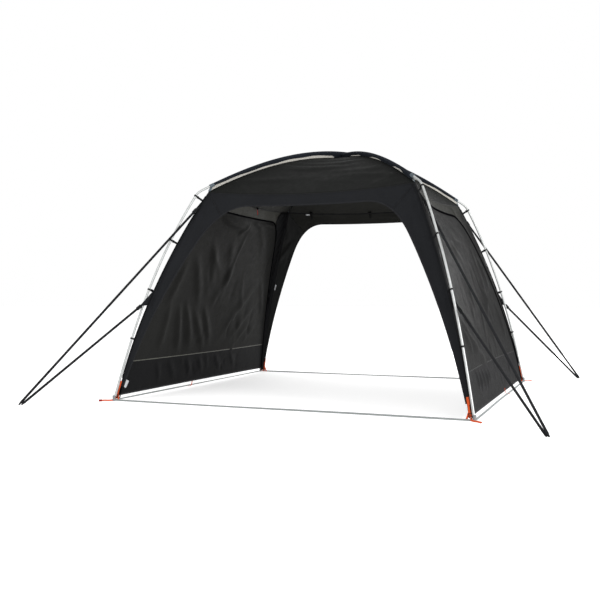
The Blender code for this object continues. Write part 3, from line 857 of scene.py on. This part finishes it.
LEFT_WALL_FOLDS = [
    (0.80, 1.30, 0.44, 0.72, 0.010, 0.030, 0.040, 0.02),
    (0.56, 1.42, 0.30, 0.90, 0.009, 0.030, 0.045, 0.02),
    (0.54, 1.33, 0.17, 1.05, 0.007, 0.030, 0.030, 0.00),
    (0.24, 1.45, 0.00, 1.00, 0.007, 0.045, 0.040, 0.02),
    (0.96, 0.86, 1.00, 0.36, 0.010, 0.020, 0.035, 0.01),
    (0.82, 0.82, 0.66, 0.34, 0.014, 0.022, 0.035, 0.00),
    (0.73, 0.85, 0.44, 0.36, 0.014, 0.022, 0.040, 0.01),
    (0.57, 0.80, 0.15, 0.33, 0.013, 0.025, 0.040, 0.00),
    (0.37, 0.80, 0.05, 0.38, 0.012, 0.022, 0.040, 0.00),
    (0.24, 0.76, -0.05, 1.16, 0.010, 0.030, 0.040, 0.01),
    (-0.08, 0.42, -0.85, 1.12, 0.011, 0.025, 0.050, 0.02),
    (-0.30, 0.38, -0.95, 0.90, 0.010, 0.022, 0.045, 0.01),
    (-0.48, 0.36, -0.98, 0.74, 0.009, 0.020, 0.040, 0.01),
    (-0.66, 0.35, -1.02, 0.60, 0.008, 0.018, 0.035, 0.00),
    (-0.77, 1.10, -1.16, 0.62, 0.009, 0.035, 0.030, 0.00),
    (0.86, 1.22, 1.04, 0.74, 0.009, 0.030, 0.030, 0.01),
    (0.55, 1.62, -0.10, 1.57, 0.008, 0.022, 0.030, 0.03),
    (0.40, 1.56, -0.30, 1.50, 0.006, 0.025, 0.035, 0.03),
    (-0.25, 1.62, -0.65, 1.30, 0.007, 0.030, 0.050, 0.02),
    (0.56, 1.62, 0.02, 1.57, 0.013, 0.013, 0.020, -0.025),
    (-0.08, 1.64, -0.36, 1.59, 0.010, 0.011, 0.018, 0.0),
    (-0.24, 1.63, -0.74, 1.62, 0.010, 0.010, 0.014, 0.01),
    (-0.04, 1.62, 0.14, 1.48, 0.009, 0.012, 0.028, 0.0),
    (0.25, 0.30, 0.11, 0.12, 0.007, 0.020, 0.030, 0.00),
    (0.48, 0.31, 0.35, 0.12, 0.007, 0.020, 0.030, 0.00),
    (0.80, 0.30, 0.62, 0.11, 0.006, 0.020, 0.030, 0.00),
    (-0.09, 0.30, -0.28, 0.13, 0.006, 0.018, 0.028, 0.00),
    (-0.45, 0.30, -0.62, 0.13, 0.006, 0.018, 0.028, 0.00),
    (0.99, 0.31, 0.87, 0.10, 0.006, 0.020, 0.030, 0.00),
]
RIGHT_WALL_FOLDS = [
    (-0.32, 1.52, 0.66, 1.34, 0.010, 0.040, 0.050, 0.03),
    (-0.20, 1.36, 0.10, 1.18, 0.009, 0.030, 0.040, 0.01),
    (0.10, 1.55, 0.60, 1.47, 0.007, 0.030, 0.030, 0.02),
    (0.75, 1.10, 0.45, 0.74, 0.010, 0.030, 0.040, 0.00),
    (0.68, 0.98, 0.36, 0.60, 0.009, 0.025, 0.040, 0.00),
    (-1.05, 0.74, -0.56, 0.42, 0.012, 0.022, 0.045, 0.01),
    (-1.07, 0.64, -0.80, 0.44, 0.011, 0.020, 0.035, 0.00),
    (-0.85, 0.57, -0.22, 0.33, 0.012, 0.022, 0.045, 0.02),
    (-0.92, 0.80, -0.36, 0.62, 0.009, 0.028, 0.050, 0.02),
    (-0.92, 0.32, -0.90, 0.15, 0.007, 0.018, 0.024, 0.00),
    (-0.76, 0.31, -0.74, 0.14, 0.007, 0.018, 0.024, 0.00),
    (-0.62, 0.31, -0.58, 0.12, 0.007, 0.018, 0.024, 0.00),
    (-0.45, 0.30, -0.43, 0.14, 0.006, 0.018, 0.024, 0.00),
    (-0.29, 0.29, -0.31, 0.16, 0.006, 0.018, 0.024, 0.00),
    (0.96, 0.86, 1.08, 0.42, 0.010, 0.025, 0.035, 0.00),
    (0.80, 1.30, 0.95, 0.95, 0.008, 0.030, 0.035, 0.00),
    (0.20, 0.90, 0.55, 0.45, 0.007, 0.040, 0.050, 0.01),
    (-0.30, 1.10, 0.20, 0.80, 0.006, 0.050, 0.060, 0.01),
]
PANEL_FOLDS = [
    (0.99, 1.72, 1.16, 0.95, 0.008, 0.014, 0.022),
    (0.94, 1.70, 1.09, 1.10, 0.007, 0.012, 0.020),
    (1.05, 1.70, 1.22, 0.80, 0.006, 0.014, 0.022),
    (1.27, 0.90, 1.12, 0.76, 0.009, 0.009, 0.016),
    (1.26, 0.86, 1.16, 0.62, 0.009, 0.009, 0.016),
    (1.25, 0.95, 1.13, 0.92, 0.007, 0.008, 0.014),
    (0.99, 1.68, 0.84, 1.66, 0.007, 0.009, 0.016),
    (1.01, 1.64, 0.93, 1.50, 0.008, 0.009, 0.018),
]
REAR_PANEL_FOLDS = [
    (1.14, 1.32, 0.88, 1.54, 0.017, 0.009, 0.016),
    (1.19, 1.20, 0.96, 1.42, -0.012, 0.010, 0.018),
    (0.955, 1.77, 0.955, 1.54, -0.016, 0.008, 0.014),
    (0.98, 1.77, 1.07, 1.44, 0.015, 0.008, 0.016),
    (0.93, 1.76, 0.82, 1.60, 0.012, 0.008, 0.014),
    (1.10, 1.50, 1.20, 1.05, 0.007, 0.014, 0.022),
]
FRONT_ROOF_FOLDS = [
    (-0.30, 0.30, 0.34, 0.30, 0.007, 0.022, 0.022, -0.03),
    (-0.42, 0.42, 0.46, 0.43, 0.008, 0.028, 0.028, -0.04),
    (-0.55, 0.56, 0.40, 0.55, 0.006, 0.030, 0.024, -0.03),
    (0.05, 0.64, 0.72, 0.70, 0.006, 0.026, 0.030, -0.03),
    (-0.12, 0.17, 0.16, 0.18, 0.005, 0.016, 0.016, -0.01),
    (-0.80, 0.88, -0.20, 0.80, 0.006, 0.020, 0.030, 0.02),
    (0.80, 0.88, 0.25, 0.78, 0.006, 0.020, 0.030, -0.02),
]


# Cloth and its seams

def make_roof(side):
    reach = np.linspace(0.004, EAVE_REACH, 64)[:, None]
    w = np.linspace(-1, 1, 73)
    share = reach / EAVE_REACH
    bow = 1 - w * w
    height = roof_seam_height(reach) - EAVE_DIP * bow * (1 - (1 - share) ** 2)
    points = turn_to(side, w * reach, SIDE_SAG * bow * share ** 2 - reach, height)
    lines = (FRONT_ROOF_FOLDS if side == "front" else []) + scattered(
        10 + SIDES[side],
        (10, (-0.35, 0.25), (0.35, 0.85), 0, 9, 0.5, 0.0045, 0.024),
        (4, (-0.75, 0.85), (-0.55, 0.95), 35, 12, 0.3, 0.004, 0.018),
        (4, (0.55, 0.85), (0.75, 0.95), -35, 12, 0.3, 0.004, 0.018),
    )
    cloth(f"roof_panel_{side}", points, pairs(w * reach, reach * 1.1), lines, UP, ("roof", "roof_inside"),
          f"roof_{side}")


def make_header(side):
    flat = pairs(np.linspace(0, ARCH_FLAT_REACH, 40, endpoint=False), ARCH_TOP)
    half = np.concatenate([flat, arch_corner(np.linspace(0, MITRE, 22))])
    lower = np.concatenate([half[::-1][:-1] * (-1, 1), half])
    upper = pairs(np.linspace(-EAVE_REACH, EAVE_REACH, len(lower)), EAVE_HEIGHT)
    uv = mix(lower, upper, np.linspace(0, 1, 14)[:, None, None])
    lines = scattered(
        40 + SIDES[side],
        (7, (-0.6, 1.68), (0.6, 1.78), 0, 5, 0.5, 0.003, 0.016),
        (3, (-0.85, 1.62), (-0.6, 1.75), 45, 10, 0.2, 0.004, 0.014),
        (3, (0.6, 1.62), (0.85, 1.75), -45, 10, 0.2, 0.004, 0.014),
    )
    looks = ("side_header", "painted_light_inside") if side in WALLED_SIDES else ("heavy", "roof_inside")
    cloth(f"header_panel_{side}", on_side(side, uv[..., 0], uv[..., 1]), uv, lines, side_outward(side), looks,
          f"header_{side}", edge=0.03)


def leg_panel_grid(side):
    """Rows of (across, height) from the arch's edge to the corner."""
    walled = side in WALLED_SIDES
    straight, bend = 70, 18
    z = np.linspace(HEM_END[side] if walled else OPEN_TIP_HEIGHT, ARCH_ROUND_END, straight, endpoint=False)
    inner = np.concatenate([pairs(arch_reach(z), z), arch_corner(np.linspace(1, MITRE, bend))])
    if walled:
        z = mix(HEM_CORNER, ARCH_ROUND_END, np.linspace(0, 1, straight, endpoint=False))
    outer_z = np.concatenate([z, mix(inner[straight:, 1], EAVE_HEIGHT, np.linspace(0, 1, bend) ** 0.8)])
    outer = pairs(corner_reach(outer_z), outer_z)
    return mix(inner[:, None], outer[:, None], np.linspace(0, 1, 20)[:, None])


def make_leg_panels(side):
    looks = ("side_heavy", "side_inside") if side in WALLED_SIDES else ("heavy", "heavy_inside")
    for end, hand in HANDS:
        uv = leg_panel_grid(side) * (hand, 1)
        low, high = (hand * 1.05 - 0.1, 0.7), (hand * 1.0 + 0.1, 1.6)
        group = (7, low, high, 90 + hand * 20, 8, 0.6, 0.004, 0.020)
        lines = scattered(70 + SIDES[side] + (hand > 0), group)
        for u0, v0, u1, v1, *size in REAR_PANEL_FOLDS if side == "rear" else PANEL_FOLDS:
            lines.append((hand * u0, v0, hand * u1, v1, *size, 0.0))
        points = on_side(side, uv[..., 0], uv[..., 1])
        cloth(f"side_panel_{side}_{end}", points, uv, lines, side_outward(side), looks,
              f"leg_panel_{side}_{end}", edge=0.03)


def make_wall(side):
    low = HEM_END[side]
    z = np.linspace(low, ARCH_ROUND_END, 84, endpoint=False)
    edge = np.concatenate([pairs(arch_reach(z), z), arch_corner(np.linspace(1, 0, 26))])
    w = np.linspace(-1, 1, 181)
    hem = (HEM_MIDDLE[side] - low) * (1 - w * w) * np.clip(1 - (edge[:, 1:] - low) / 0.4, 0, 1)
    across, height = edge[:, :1] * w, edge[:, 1:] + hem
    lines = (LEFT_WALL_FOLDS if side == "left" else RIGHT_WALL_FOLDS) + scattered(
        110 + SIDES[side],
        (16, (-0.9, 0.45), (0.9, 1.3), 90, 14, 0.5, 0.004, 0.026),
        (10, (-0.9, 0.12), (0.9, 0.28), 75, 12, 0.16, 0.004, 0.016),
    )
    points = on_side(side, across, height)
    # The left wall is seen from its inside, so its folds rise inward
    cloth(f"wall_panel_{side}", points, pairs(across, height), lines, side_outward(side),
          ("wall", "wall_inside"), f"wall_{side}", edge=0.035,
          pinned="tlr", rise=-1 if side == "left" else 1)


def side_strip(name, side, line, tape, look):
    """Tape along a line of (across, height) on a side's cloth."""
    across, height = line.T
    lift, width, thickness = tape
    normal = facing(side, across, height)
    path = on_side(side, across, height) + normal * lift
    level = unit(np.cross(normal, unit(np.gradient(path, axis=0))))
    strap_piece(name, path, level, width, thickness, look)


def make_bindings():
    for side in ("front", "rear"):
        edge = arch_edge(OPEN_TIP_HEIGHT, 220)
        side_strip(f"arch_binding_{side}", side, edge, ARCH_BINDING, "binding")
    for side in WALLED_SIDES:
        low, middle = HEM_END[side], HEM_MIDDLE[side]
        w = np.linspace(-1, 1, 80)
        hem = pairs(arch_reach(low) * w, low + (middle - low) * (1 - w * w) + EDGE_INSET)
        side_strip(f"wall_hem_{side}", side, hem, HEM_BINDING, "binding")
        edge = arch_edge(low + EDGE_INSET, 240)
        seam = pairs(arch_reach(SEAM_HEIGHT) * np.linspace(-0.985, 0.985, 90), SEAM_HEIGHT)
        for face, look in (("outside", "side_seam"), ("inside", "seam_tape")):
            side_strip(f"zip_{side}_{face}", side, edge, ZIP_TAPE[face], "zip")
            side_strip(f"wall_seam_{side}_{face}", side, seam, WALL_SEAM[face], look)
    eave = pairs(EAVE_REACH * np.linspace(-0.995, 0.995, 100), EAVE_HEIGHT - EDGE_INSET)
    mitre = mix(arch_corner(MITRE), np.array([EAVE_REACH, EAVE_HEIGHT]), np.linspace(0.02, 0.98, 24)[:, None])
    for side in SIDES:
        look = "side_seam" if side in WALLED_SIDES else "seam"
        for face, tape in EAVE_SEAM.items():
            side_strip(f"eave_seam_{side}_{face}", side, eave, tape, look)
        for name, hand in HANDS:
            side_strip(f"mitre_seam_{side}_{name}", side, mitre * (hand, 1), MITRE_SEAM, look)


def make_corner_shade_sheet(side, name, hand):
    """Dark cloth inside the corner of a walled side, wider towards the eave, that paints the shade in the
    corner.
    """
    z = np.linspace(SHADE_SHEET_HEIGHTS[0], EAVE_HEIGHT - 0.006, 60)[:, None]
    edge_reach, edge_height = arch_edge(0.5, 400)[:200].T
    room = np.interp(z, edge_height, corner_reach(edge_height) - edge_reach) - 0.018
    wide = np.minimum(room, np.interp(z, SHADE_SHEET_HEIGHTS, SHADE_SHEET_WIDTHS))
    across = hand * (corner_reach(z) - 0.004 - wide * np.linspace(1, 0, 13))
    depth = mix(*SHADE_SHEET_DEPTHS, smooth_step((z - 1.40) / 0.2)) + 0.0020 * np.sin(z * 40 + across * 60)
    points = on_side(side, across, z) - facing(side, across, z) * depth[..., None]
    plain_sheet(f"corner_shade_sheet_{side}_{name}", points, pairs(across, z), "dark",
                [f"side_panel_{side}_{name}"])


def sleeve_outline():
    """A sleeve's section: round the pole, and down both flanks of its pocket to a pinch."""
    angles = np.radians(np.linspace(-48, 228, 22))
    half = pairs(np.cos(angles), np.sin(angles)) * SLEEVE_RADIUS
    pinch = np.array([[0.0012, -SLEEVE_POCKET]])
    share = np.linspace(0, 1, 7)[1:, None]
    left_flank, right_flank = mix(half[-1:], pinch * (-1, 1), share), mix(half[:1], pinch, share)
    return np.concatenate([right_flank[::-1], half, left_flank])


def make_sleeve(corner):
    """Dark cloth wrapped round the pole, and the pale gathered web that carries the roof from it."""
    level = "upper" if corner in UPPER_POLE_CORNERS else "lower"
    across = sideways_of(corner)
    reach = np.linspace(SLEEVE_INNER_REACH[level], SLEEVE_OUTER_REACH, 140)[:, None]
    middle = at_corner(corner, reach, roof_pole_height(reach, crown_of(corner)))
    along = unit(np.gradient(middle, axis=0))
    up = np.cross(along, across)
    up = up * np.sign(up[..., 2:])
    far = travelled(middle)
    dice = np.random.default_rng(7 + len(corner))

    outline = sleeve_outline()
    around = travelled(outline)
    drop = np.clip(-outline[:, 1] / SLEEVE_POCKET, 0, 1)
    room = (middle[..., 2] - roof_seam_height(reach) - 0.002) / SLEEVE_POCKET
    gusset = np.clip((WEB_INNER_REACH + 0.012 - reach) / 0.022, 0, 1)
    taper_share = (reach - SLEEVE_TAPER_START) / SLEEVE_TAPER_LENGTH
    taper = mix(1.0, SLEEVE_POCKET_END / SLEEVE_POCKET, smooth_step(taper_share))
    pocket = np.minimum(room, taper + 0.10 * np.sin(far * 23 + dice.uniform(0, 6)))
    if level == "lower":
        closed = 1 - sum(np.exp(-((reach - place) / size) ** 2) for place, size in WEB_WINDOWS)
        pocket = mix(pocket * 0.7, room, smooth_step(closed * 1.4 - 0.2))
    fit = np.where(drop > 0, mix(pocket, room, gusset), 1.0)
    puff = 1 + 0.07 * np.sin(far * 77 + 60 * around + dice.uniform(0, 6))
    puff = puff + 0.05 * np.sin(far * 34 - 90 * around)
    points = middle + across * (outline[:, 0] * puff)[..., None]
    points = points + up * (outline[:, 1] * mix(1.0, fit, drop))[..., None]
    plain_sheet(f"pole_sleeve_{corner}", points, pairs(around, far), "sleeve",
                [f"roof_pole_{level}"], offset=1.0, replaced=[f"sleeve_{corner}"])

    first = int((reach <= WEB_INNER_REACH - 0.004).sum())
    reach, middle, along, up, far = (values[first:] for values in (reach, middle, along, up, far))
    bottom = at_corner(corner, reach, roof_seam_height(reach) + 0.001)
    hang = np.minimum(SLEEVE_POCKET_END - 0.002, middle[..., 2] - bottom[..., 2] - 0.002)
    t = np.linspace(0, 1, 7)
    wave = 0.0016 * np.sin(far * 2 * math.pi / WEB_GATHER) + 0.0022 * np.sin(far * 21 + 1.3)
    web = mix(middle - up * hang[..., None], bottom, t[:, None])
    web = web + across * (wave * np.sin(math.pi * t))[..., None]
    tall = np.linalg.norm(web[:, -1] - web[:, 0], axis=-1).max()
    plain_sheet(f"sleeve_web_{corner}", web, pairs(t * tall, far), "web",
                [f"pole_sleeve_{corner}"])

    reach = np.linspace(0.02, EAVE_REACH, 80)
    seam = at_corner(corner, reach, roof_seam_height(reach) + 0.0012)
    strap_piece(f"roof_seam_{corner}", seam, across, ROOF_SEAM_WIDTH, 0.0018, "seam")

    middle, along, up = middle[:, 0], along[:, 0], up[:, 0]
    tab = Shape()
    tab.sweep(resampled(middle[-5:], 6), across, circle(SLEEVE_RADIUS + 0.0022, 20))
    foot = at_corner(corner, EAVE_REACH - 0.006, EAVE_HEIGHT + 0.004)
    tab.strap(resampled([middle[-2] - up[-2] * 0.010, foot], 8), along[-2], 0.022, 0.0028)
    tab.make(f"sleeve_tab_{corner}", ["tab"])


# Poles and feet

def leg_path(corner):
    low, end = ELBOW_HEIGHT - ELBOW_BEND, ELBOW_REACH - ELBOW_BEND
    crown = crown_of(corner)
    z = np.linspace(FOOT_HEIGHT - 0.006, low, 60)
    above = (end, roof_pole_height(end, crown))
    bend = curve((leg_reach(low), low), (ELBOW_REACH, ELBOW_HEIGHT), above, np.linspace(0, 1, 14)[1:])
    tip = np.linspace(end, JOINT_REACH, 8)[1:]
    line = np.concatenate([pairs(leg_reach(z), z), bend, pairs(tip, roof_pole_height(tip, crown))])
    return at_corner(corner, *line.T)


def make_poles():
    tubes = [(f"leg_tube_{corner}", f"leg_{corner}", corner, leg_path(corner), 24) for corner in CORNERS]
    reach = np.linspace(JOINT_REACH, -JOINT_REACH, 90)
    for name, corner in (("upper", "front_left"), ("lower", "front_right")):
        path = at_corner(corner, reach, roof_pole_height(np.abs(reach), crown_of(corner)))
        tubes.append((f"arch_tube_{name}", f"roof_pole_{name}", corner, path, 20))
    for name, node, corner, path, sides in tubes:
        shape = Shape()
        shape.rod(path, POLE_RADIUS, sides, sideways_of(corner))
        shape.make(name, ["steel"], [node])


def make_feet():
    for corner in CORNERS:
        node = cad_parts[f"foot_{corner}"]
        for slot in node.material_slots:
            slot.material = LOOKS["cap"]
        if not node.material_slots:
            node.data.materials.append(LOOKS["cap"])


# Corner seams with the clips on the legs

def make_corner_binding(corner):
    tape_z = np.linspace(TAPE_BOTTOM, TAPE_TOP, 90)
    seam_z = np.linspace(HEM_CORNER + EDGE_INSET, EAVE_HEIGHT - 0.005, 90)
    for name, z, tape, look, slot_name, replaced in (
        ("binding", tape_z, CORNER_BINDING, "corner_binding", "black_webbing", [f"corner_tape_{corner}"]),
        ("seam", seam_z, CORNER_SEAM, "seam", "roof_cloth", []),
        ("seam_inside", seam_z, INNER_CORNER_SEAM, "corner_binding", "roof_cloth", []),
    ):
        lift, width, thickness = tape
        path = up_corner(corner, z, lift)
        strap_piece(f"corner_{name}_{corner}", path, sideways_of(corner), width, thickness, look,
                    replaced)
    for number, height in enumerate(CLIP_HEIGHTS, 1):
        make_clip(corner, number, height)


def make_clip(corner, number, height):
    """A doubled strap from the binding, with a moulded hook snapped round the pole."""
    outward, side = outward_of(corner), sideways_of(corner)
    pole, above = (at_corner(corner, leg_reach(z), z) for z in (height, height + 0.02))
    along = unit(above - pole)
    out = unit(outward - along * (outward @ along))
    gap = 0.0
    for _ in range(12):
        end = pole - out * gap
        gap += (end @ outward - (corner_reach(end[2]) * DIAGONAL + TAPE_CLEARANCE)) * 0.7
    ring = POLE_RADIUS + CLIP_RING_GAP
    root, lug = pole - out * (gap + 0.001), pole - out * (ring + 0.010)
    turn = np.radians(np.linspace(-150, 150, 22))[:, None]
    shape = Shape()
    shape.strap(resampled([root, lug], 10), along, CLIP_WIDTH, 0.0026)
    shape.strap(resampled([root, mix(root, lug, 0.45)], 6) + side * 0.0022, along, CLIP_WIDTH, 0.0018)
    shape.strap(pole + out * (np.cos(turn) * ring) + side * (np.sin(turn) * ring), along, 0.013, 0.0044, 1)
    shape.block(pole - out * (ring + 0.006), side, along, (0.020, 0.022, 0.006), 1)
    shape.block(pole - out * (ring + 0.014), along, side, (0.024, 0.006, 0.004), 1)
    shape.make(f"clip_{corner}_{number}", ["black_webbing", "black_plastic"])


# Guys

def make_buckle(name, middle, along, side, buckle):
    """A ladder buckle: two rails with bars across them."""
    spacing, rail, bar, shares = buckle
    shape = Shape()
    for hand in (-1, 1):
        shape.block(middle + side * hand * spacing, along, side, rail)
    for share in shares:
        shape.block(middle + along * rail[0] * share, side, along, bar)
    shape.make(name, ["black_plastic"])


def make_guy(name, corner, guy, offset):
    """Webbing from a patch on the corner's seam, through a ladder buckle, to a hook on the ground."""
    outward, side = outward_of(corner), sideways_of(corner)
    tip = np.array([guy["tip"][0] * DIAGONAL, guy["tip"][1]])
    peg = np.array([PEG_REACH * DIAGONAL + guy["peg_shift"], PEG_HEIGHT])
    run = unit(peg - tip)
    down, cross = outward * run[0] + UP * run[1], UP * run[0] - outward * run[1]

    def place(point):
        return outward * point[0] + side * offset + UP * point[1]

    def between(start, end, count):
        return resampled([place(start), place(end)], count)

    seam = up_corner(corner, np.linspace(*guy["patch"], 16), 0.0015) + side * 0.004
    nose = np.linspace(1, -1, 16)[:, None] * cross * GUY_WIDTH / 2 + place(tip)
    t = np.linspace(0, 1, 14)
    dish = np.sin(math.pi * t) * np.sin(math.pi * np.linspace(0, 1, 16))[:, None]
    patch = mix(seam[:, None], nose[:, None], t[:, None]) + side * (0.004 * dish)[..., None]
    uv = pairs(np.linspace(0, 0.1, 16)[:, None], np.linalg.norm(patch - seam[:, None], axis=-1))
    plain_sheet(f"guy_patch_{name}_{corner}", patch, uv, "heavy",
                [f"corner_binding_{corner}"], 0.0018, replaced=[f"guy_{name}_{corner}"], slanted=True)

    middle = place(tip + run * GUY_BUCKLE_REACH)
    make_buckle(f"ladder_buckle_{name}_{corner}", middle, down, cross, GUY_BUCKLE)

    hook = peg - run * HOOK_LENGTH
    angle = np.radians(GUY_TWIST[corner]) * smooth_step(np.linspace(0, 1, 140) / 0.25)[:, None]
    lean = cross * np.cos(angle) + side * np.sin(angle)
    face = np.cross(down, lean[-1])
    swing = np.linspace(0, 1, 14)[:, None] ** 1.5
    fold = between(tip + run * 0.045, tip + run * 0.13, 14) + side * (0.0026 + 0.002 * swing)
    strap = Shape()
    strap.strap(between(tip - run * 0.02, tip + run * 0.018, 6), cross, GUY_WIDTH, 0.003)
    strap.strap(between(tip + run * 0.006, hook, 140), lean, GUY_WIDTH, 0.0021)
    strap.strap(fold, cross, GUY_WIDTH * 0.98, 0.0018)
    strap.strap(between(hook - run * 0.07, hook, 8) + face * 0.0021, lean[-1], GUY_WIDTH * 0.96, 0.0019)
    end = place(hook)
    for bow in (-1, 1):
        loop = rounded([end, end + down * 0.010 + face * bow * 0.005, end + down * 0.027], 12)
        loop[:, 2] = np.maximum(loop[:, 2], 0.0015)
        strap.strap(loop, lean[-1], GUY_WIDTH * 0.9, 0.0019, size=np.linspace(1.0, 0.55, 12))
    strap.make(f"guy_strap_{name}_{corner}", ["black_webbing"])


# Webbing at the ground

def make_ground_straps():
    across = np.linspace(-GROUND_STRAP_REACH, GROUND_STRAP_REACH, 160)
    for side, phase in SIDES.items():
        sway = 0.002 * np.sin(across * 3.1 + phase)
        tilt = np.radians(GROUND_STRAP_TILT + 14 * np.sin(across * 2.1 + phase))
        path = turn_to(side, across, -FOOT_REACH + sway, 0.0012 + np.sin(tilt) * GROUND_STRAP_WIDTH / 2)
        strap_piece(f"base_strap_{side}", path, turn_to(side, 0.0, np.cos(tilt), np.sin(tilt)),
                    GROUND_STRAP_WIDTH, 0.0016, "pale_webbing", [f"ground_strap_{side}"])


def make_foot_strap(corner):
    """Adjuster webbing with its buckle, and the steel ring that it holds."""
    sx, sy = CORNERS[corner]
    foot_slide, top_slide = FOOT_STRAP_SLIDE[corner]

    def slid(points):
        points = np.array(points)
        points[..., 0] += mix(foot_slide, top_slide, points[..., 2] / FOOT_STRAP_TOP)
        return points * (sx, sy, 1.0)

    side = np.array([sx, 0.0, 0.0])
    lean = unit(np.array([0.75, -0.62, 0.75])) * (sx, sy, 1.0)
    upper, lower, back, tail = (
        slid(rounded(FOOT_WEBBING[part], count))
        for part, count in (("upper", 20), ("lower", 16), ("back", 18), ("tail", 30))
    )
    shape = Shape()
    shape.strap(upper, side, 0.019, 0.0022)
    shape.strap(upper[2:9] + (0.0, sy * 0.0024, 0.0), side, 0.019, 0.0018)
    shape.strap(lower, side, 0.017, 0.0020)
    shape.strap(back, side, 0.015, 0.0020)
    shape.strap(tail, lean, 0.016, 0.0020)
    # Only at the front left: a darker, thicker piece on the tail's curled end, as painted shade
    if corner == "front_left":
        shape.strap(tail[-6:] + UP * 0.0015, lean, 0.021, 0.0060, 1)
    shape.make(f"foot_webbing_{corner}", ["orange", "shaded_tail_end"], [f"foot_strap_{corner}"])
    down = unit(upper[-1] - upper[-4])
    make_buckle(f"foot_buckle_{corner}", slid(FOOT_BUCKLE_PLACE), down, side, FOOT_BUCKLE)
    ring = circle(FOOT_RING_RADIUS, 36)
    loop = slid(FOOT_RING_PLACE) + outward_of(corner) * (1, -1, 1) * ring[:, :1] + UP * ring[:, 1:]
    shape = Shape()
    shape.rod(loop, 0.0017, 10, outward_of(corner), closed=True)
    shape.make(f"foot_ring_{corner}", ["steel"])


def make_hem_loop(side):
    hem = corner_reach(HEM_MIDDLE[side]) - side_sag(side, HEM_MIDDLE[side])
    out, height = rounded(HEM_LOOP_PATH[side], 26).T
    path = turn_to(side, HEM_LOOP_ACROSS, -(hem + out), height)
    strap_piece(f"peg_loop_{side}", path, turn_to(side, 1.0, 0.0, 0.0), 0.015, 0.0020, "orange",
                [f"hem_loop_{side}"])


# Crown, labels, toggles

def make_crown():
    radius = np.linspace(0.001, CROWN_PATCH_RADIUS, 8)[:, None]
    turn = np.linspace(0, 2 * math.pi, 41)
    flat = pairs(radius * np.cos(turn), radius * np.sin(turn))
    z = np.broadcast_to(roof_seam_height(0.0) + 0.0032 - 0.6 * radius ** 2, flat.shape[:2])
    points = np.dstack([flat, z])
    piece = plain_sheet("crown_reinforcement", points, flat, "heavy", thickness=0.0012,
                        offset=-1.0, replaced=["crown_patch"])


def make_label(name, side, across, height, depth, size, tilt):
    """A blank woven tag on the inside of a side's cloth."""
    u, v = np.meshgrid(np.linspace(-0.5, 0.5, 6) * size[0], np.linspace(-0.5, 0.5, 10) * size[1])
    cos, sin = math.cos(math.radians(tilt)), math.sin(math.radians(tilt))
    curl = 0.0015 * np.sin(v / size[1] * math.pi)
    wide, tall = across + u * cos - v * sin, height + u * sin + v * cos
    points = on_side(side, wide, tall) - facing(side, wide, tall) * (depth + curl)[..., None]
    plain_sheet(name, points, pairs(u, v), "label", [f"header_panel_{side}"], 0.0008, -1.0)


def make_toggle(name, side, across, height, tape="black_webbing"):
    """A toggle on the inside of a header, with the loop of tape that ties up a rolled wall."""
    inward, level = -side_outward(side), turn_to(side, 1.0, 0.0, 0.0)
    top = on_side(side, across, height) + inward * 0.003

    def at(down, deep, wide=0.0):
        return top - UP * down + inward * deep + level * wide

    shape = Shape()
    shape.strap(rounded([at(-0.016, 0.0), at(-0.006, 0.003), at(0.0, 0.010)], 12), level, 0.010, 0.0016)
    half = [0.55, 0.85, 1, 1, 0.92, 0.86]
    bar = resampled([at(0.0, 0.014, -0.017), at(0.0, 0.014, 0.017)], 12)
    shape.rod(bar, 0.0105, 14, UP, 1, half + half[::-1])
    for swing in (-0.006, 0.006):
        low, lower = at(0.048, 0.008, swing - 0.004), at(0.060, 0.006, -0.006)
        loop = rounded([at(0.004, 0.004), at(0.025, 0.008, swing), low, lower], 20)
        shape.strap(loop, level, 0.007, 0.0016, 2)
    shape.make(name, ["black_webbing", "black_plastic", tape])


def main():
    make_camera()
    make_light()
    make_floor()
    LOOKS.update(make_materials())
    for side in SIDES:
        make_roof(side)
        make_header(side)
        make_leg_panels(side)
    for side in WALLED_SIDES:
        make_wall(side)
        make_hem_loop(side)
        for name, hand in HANDS:
            make_corner_shade_sheet(side, name, hand)
    make_bindings()
    make_poles()
    make_feet()
    for corner in CORNERS:
        make_sleeve(corner)
        make_corner_binding(corner)
        make_guy("lower", corner, LOWER_GUY, GUY_OFFSET)
        make_guy("upper", corner, UPPER_GUY, GUY_OFFSET + GUY_SPACING)
        make_foot_strap(corner)
    make_ground_straps()
    make_crown()
    make_label("hem_label", "left", 1.400, 0.137, 0.010, (0.042, 0.064), 22)
    make_label("corner_label", "rear", 1.198, 0.985, 0.012, (0.016, 0.064), 22)
    make_label("header_label", "rear", 0.685, 1.775, 0.008, (0.046, 0.016), 0)
    make_toggle("toggle_left", "left", -0.014, 1.778, "red_tape")
    make_toggle("toggle_left_front", "left", 0.640, 1.778, "red_tape")
    make_toggle("toggle_rear", "rear", -0.017, 1.792)
    make_toggle("toggle_rear_left", "rear", 0.640, 1.790)


main()
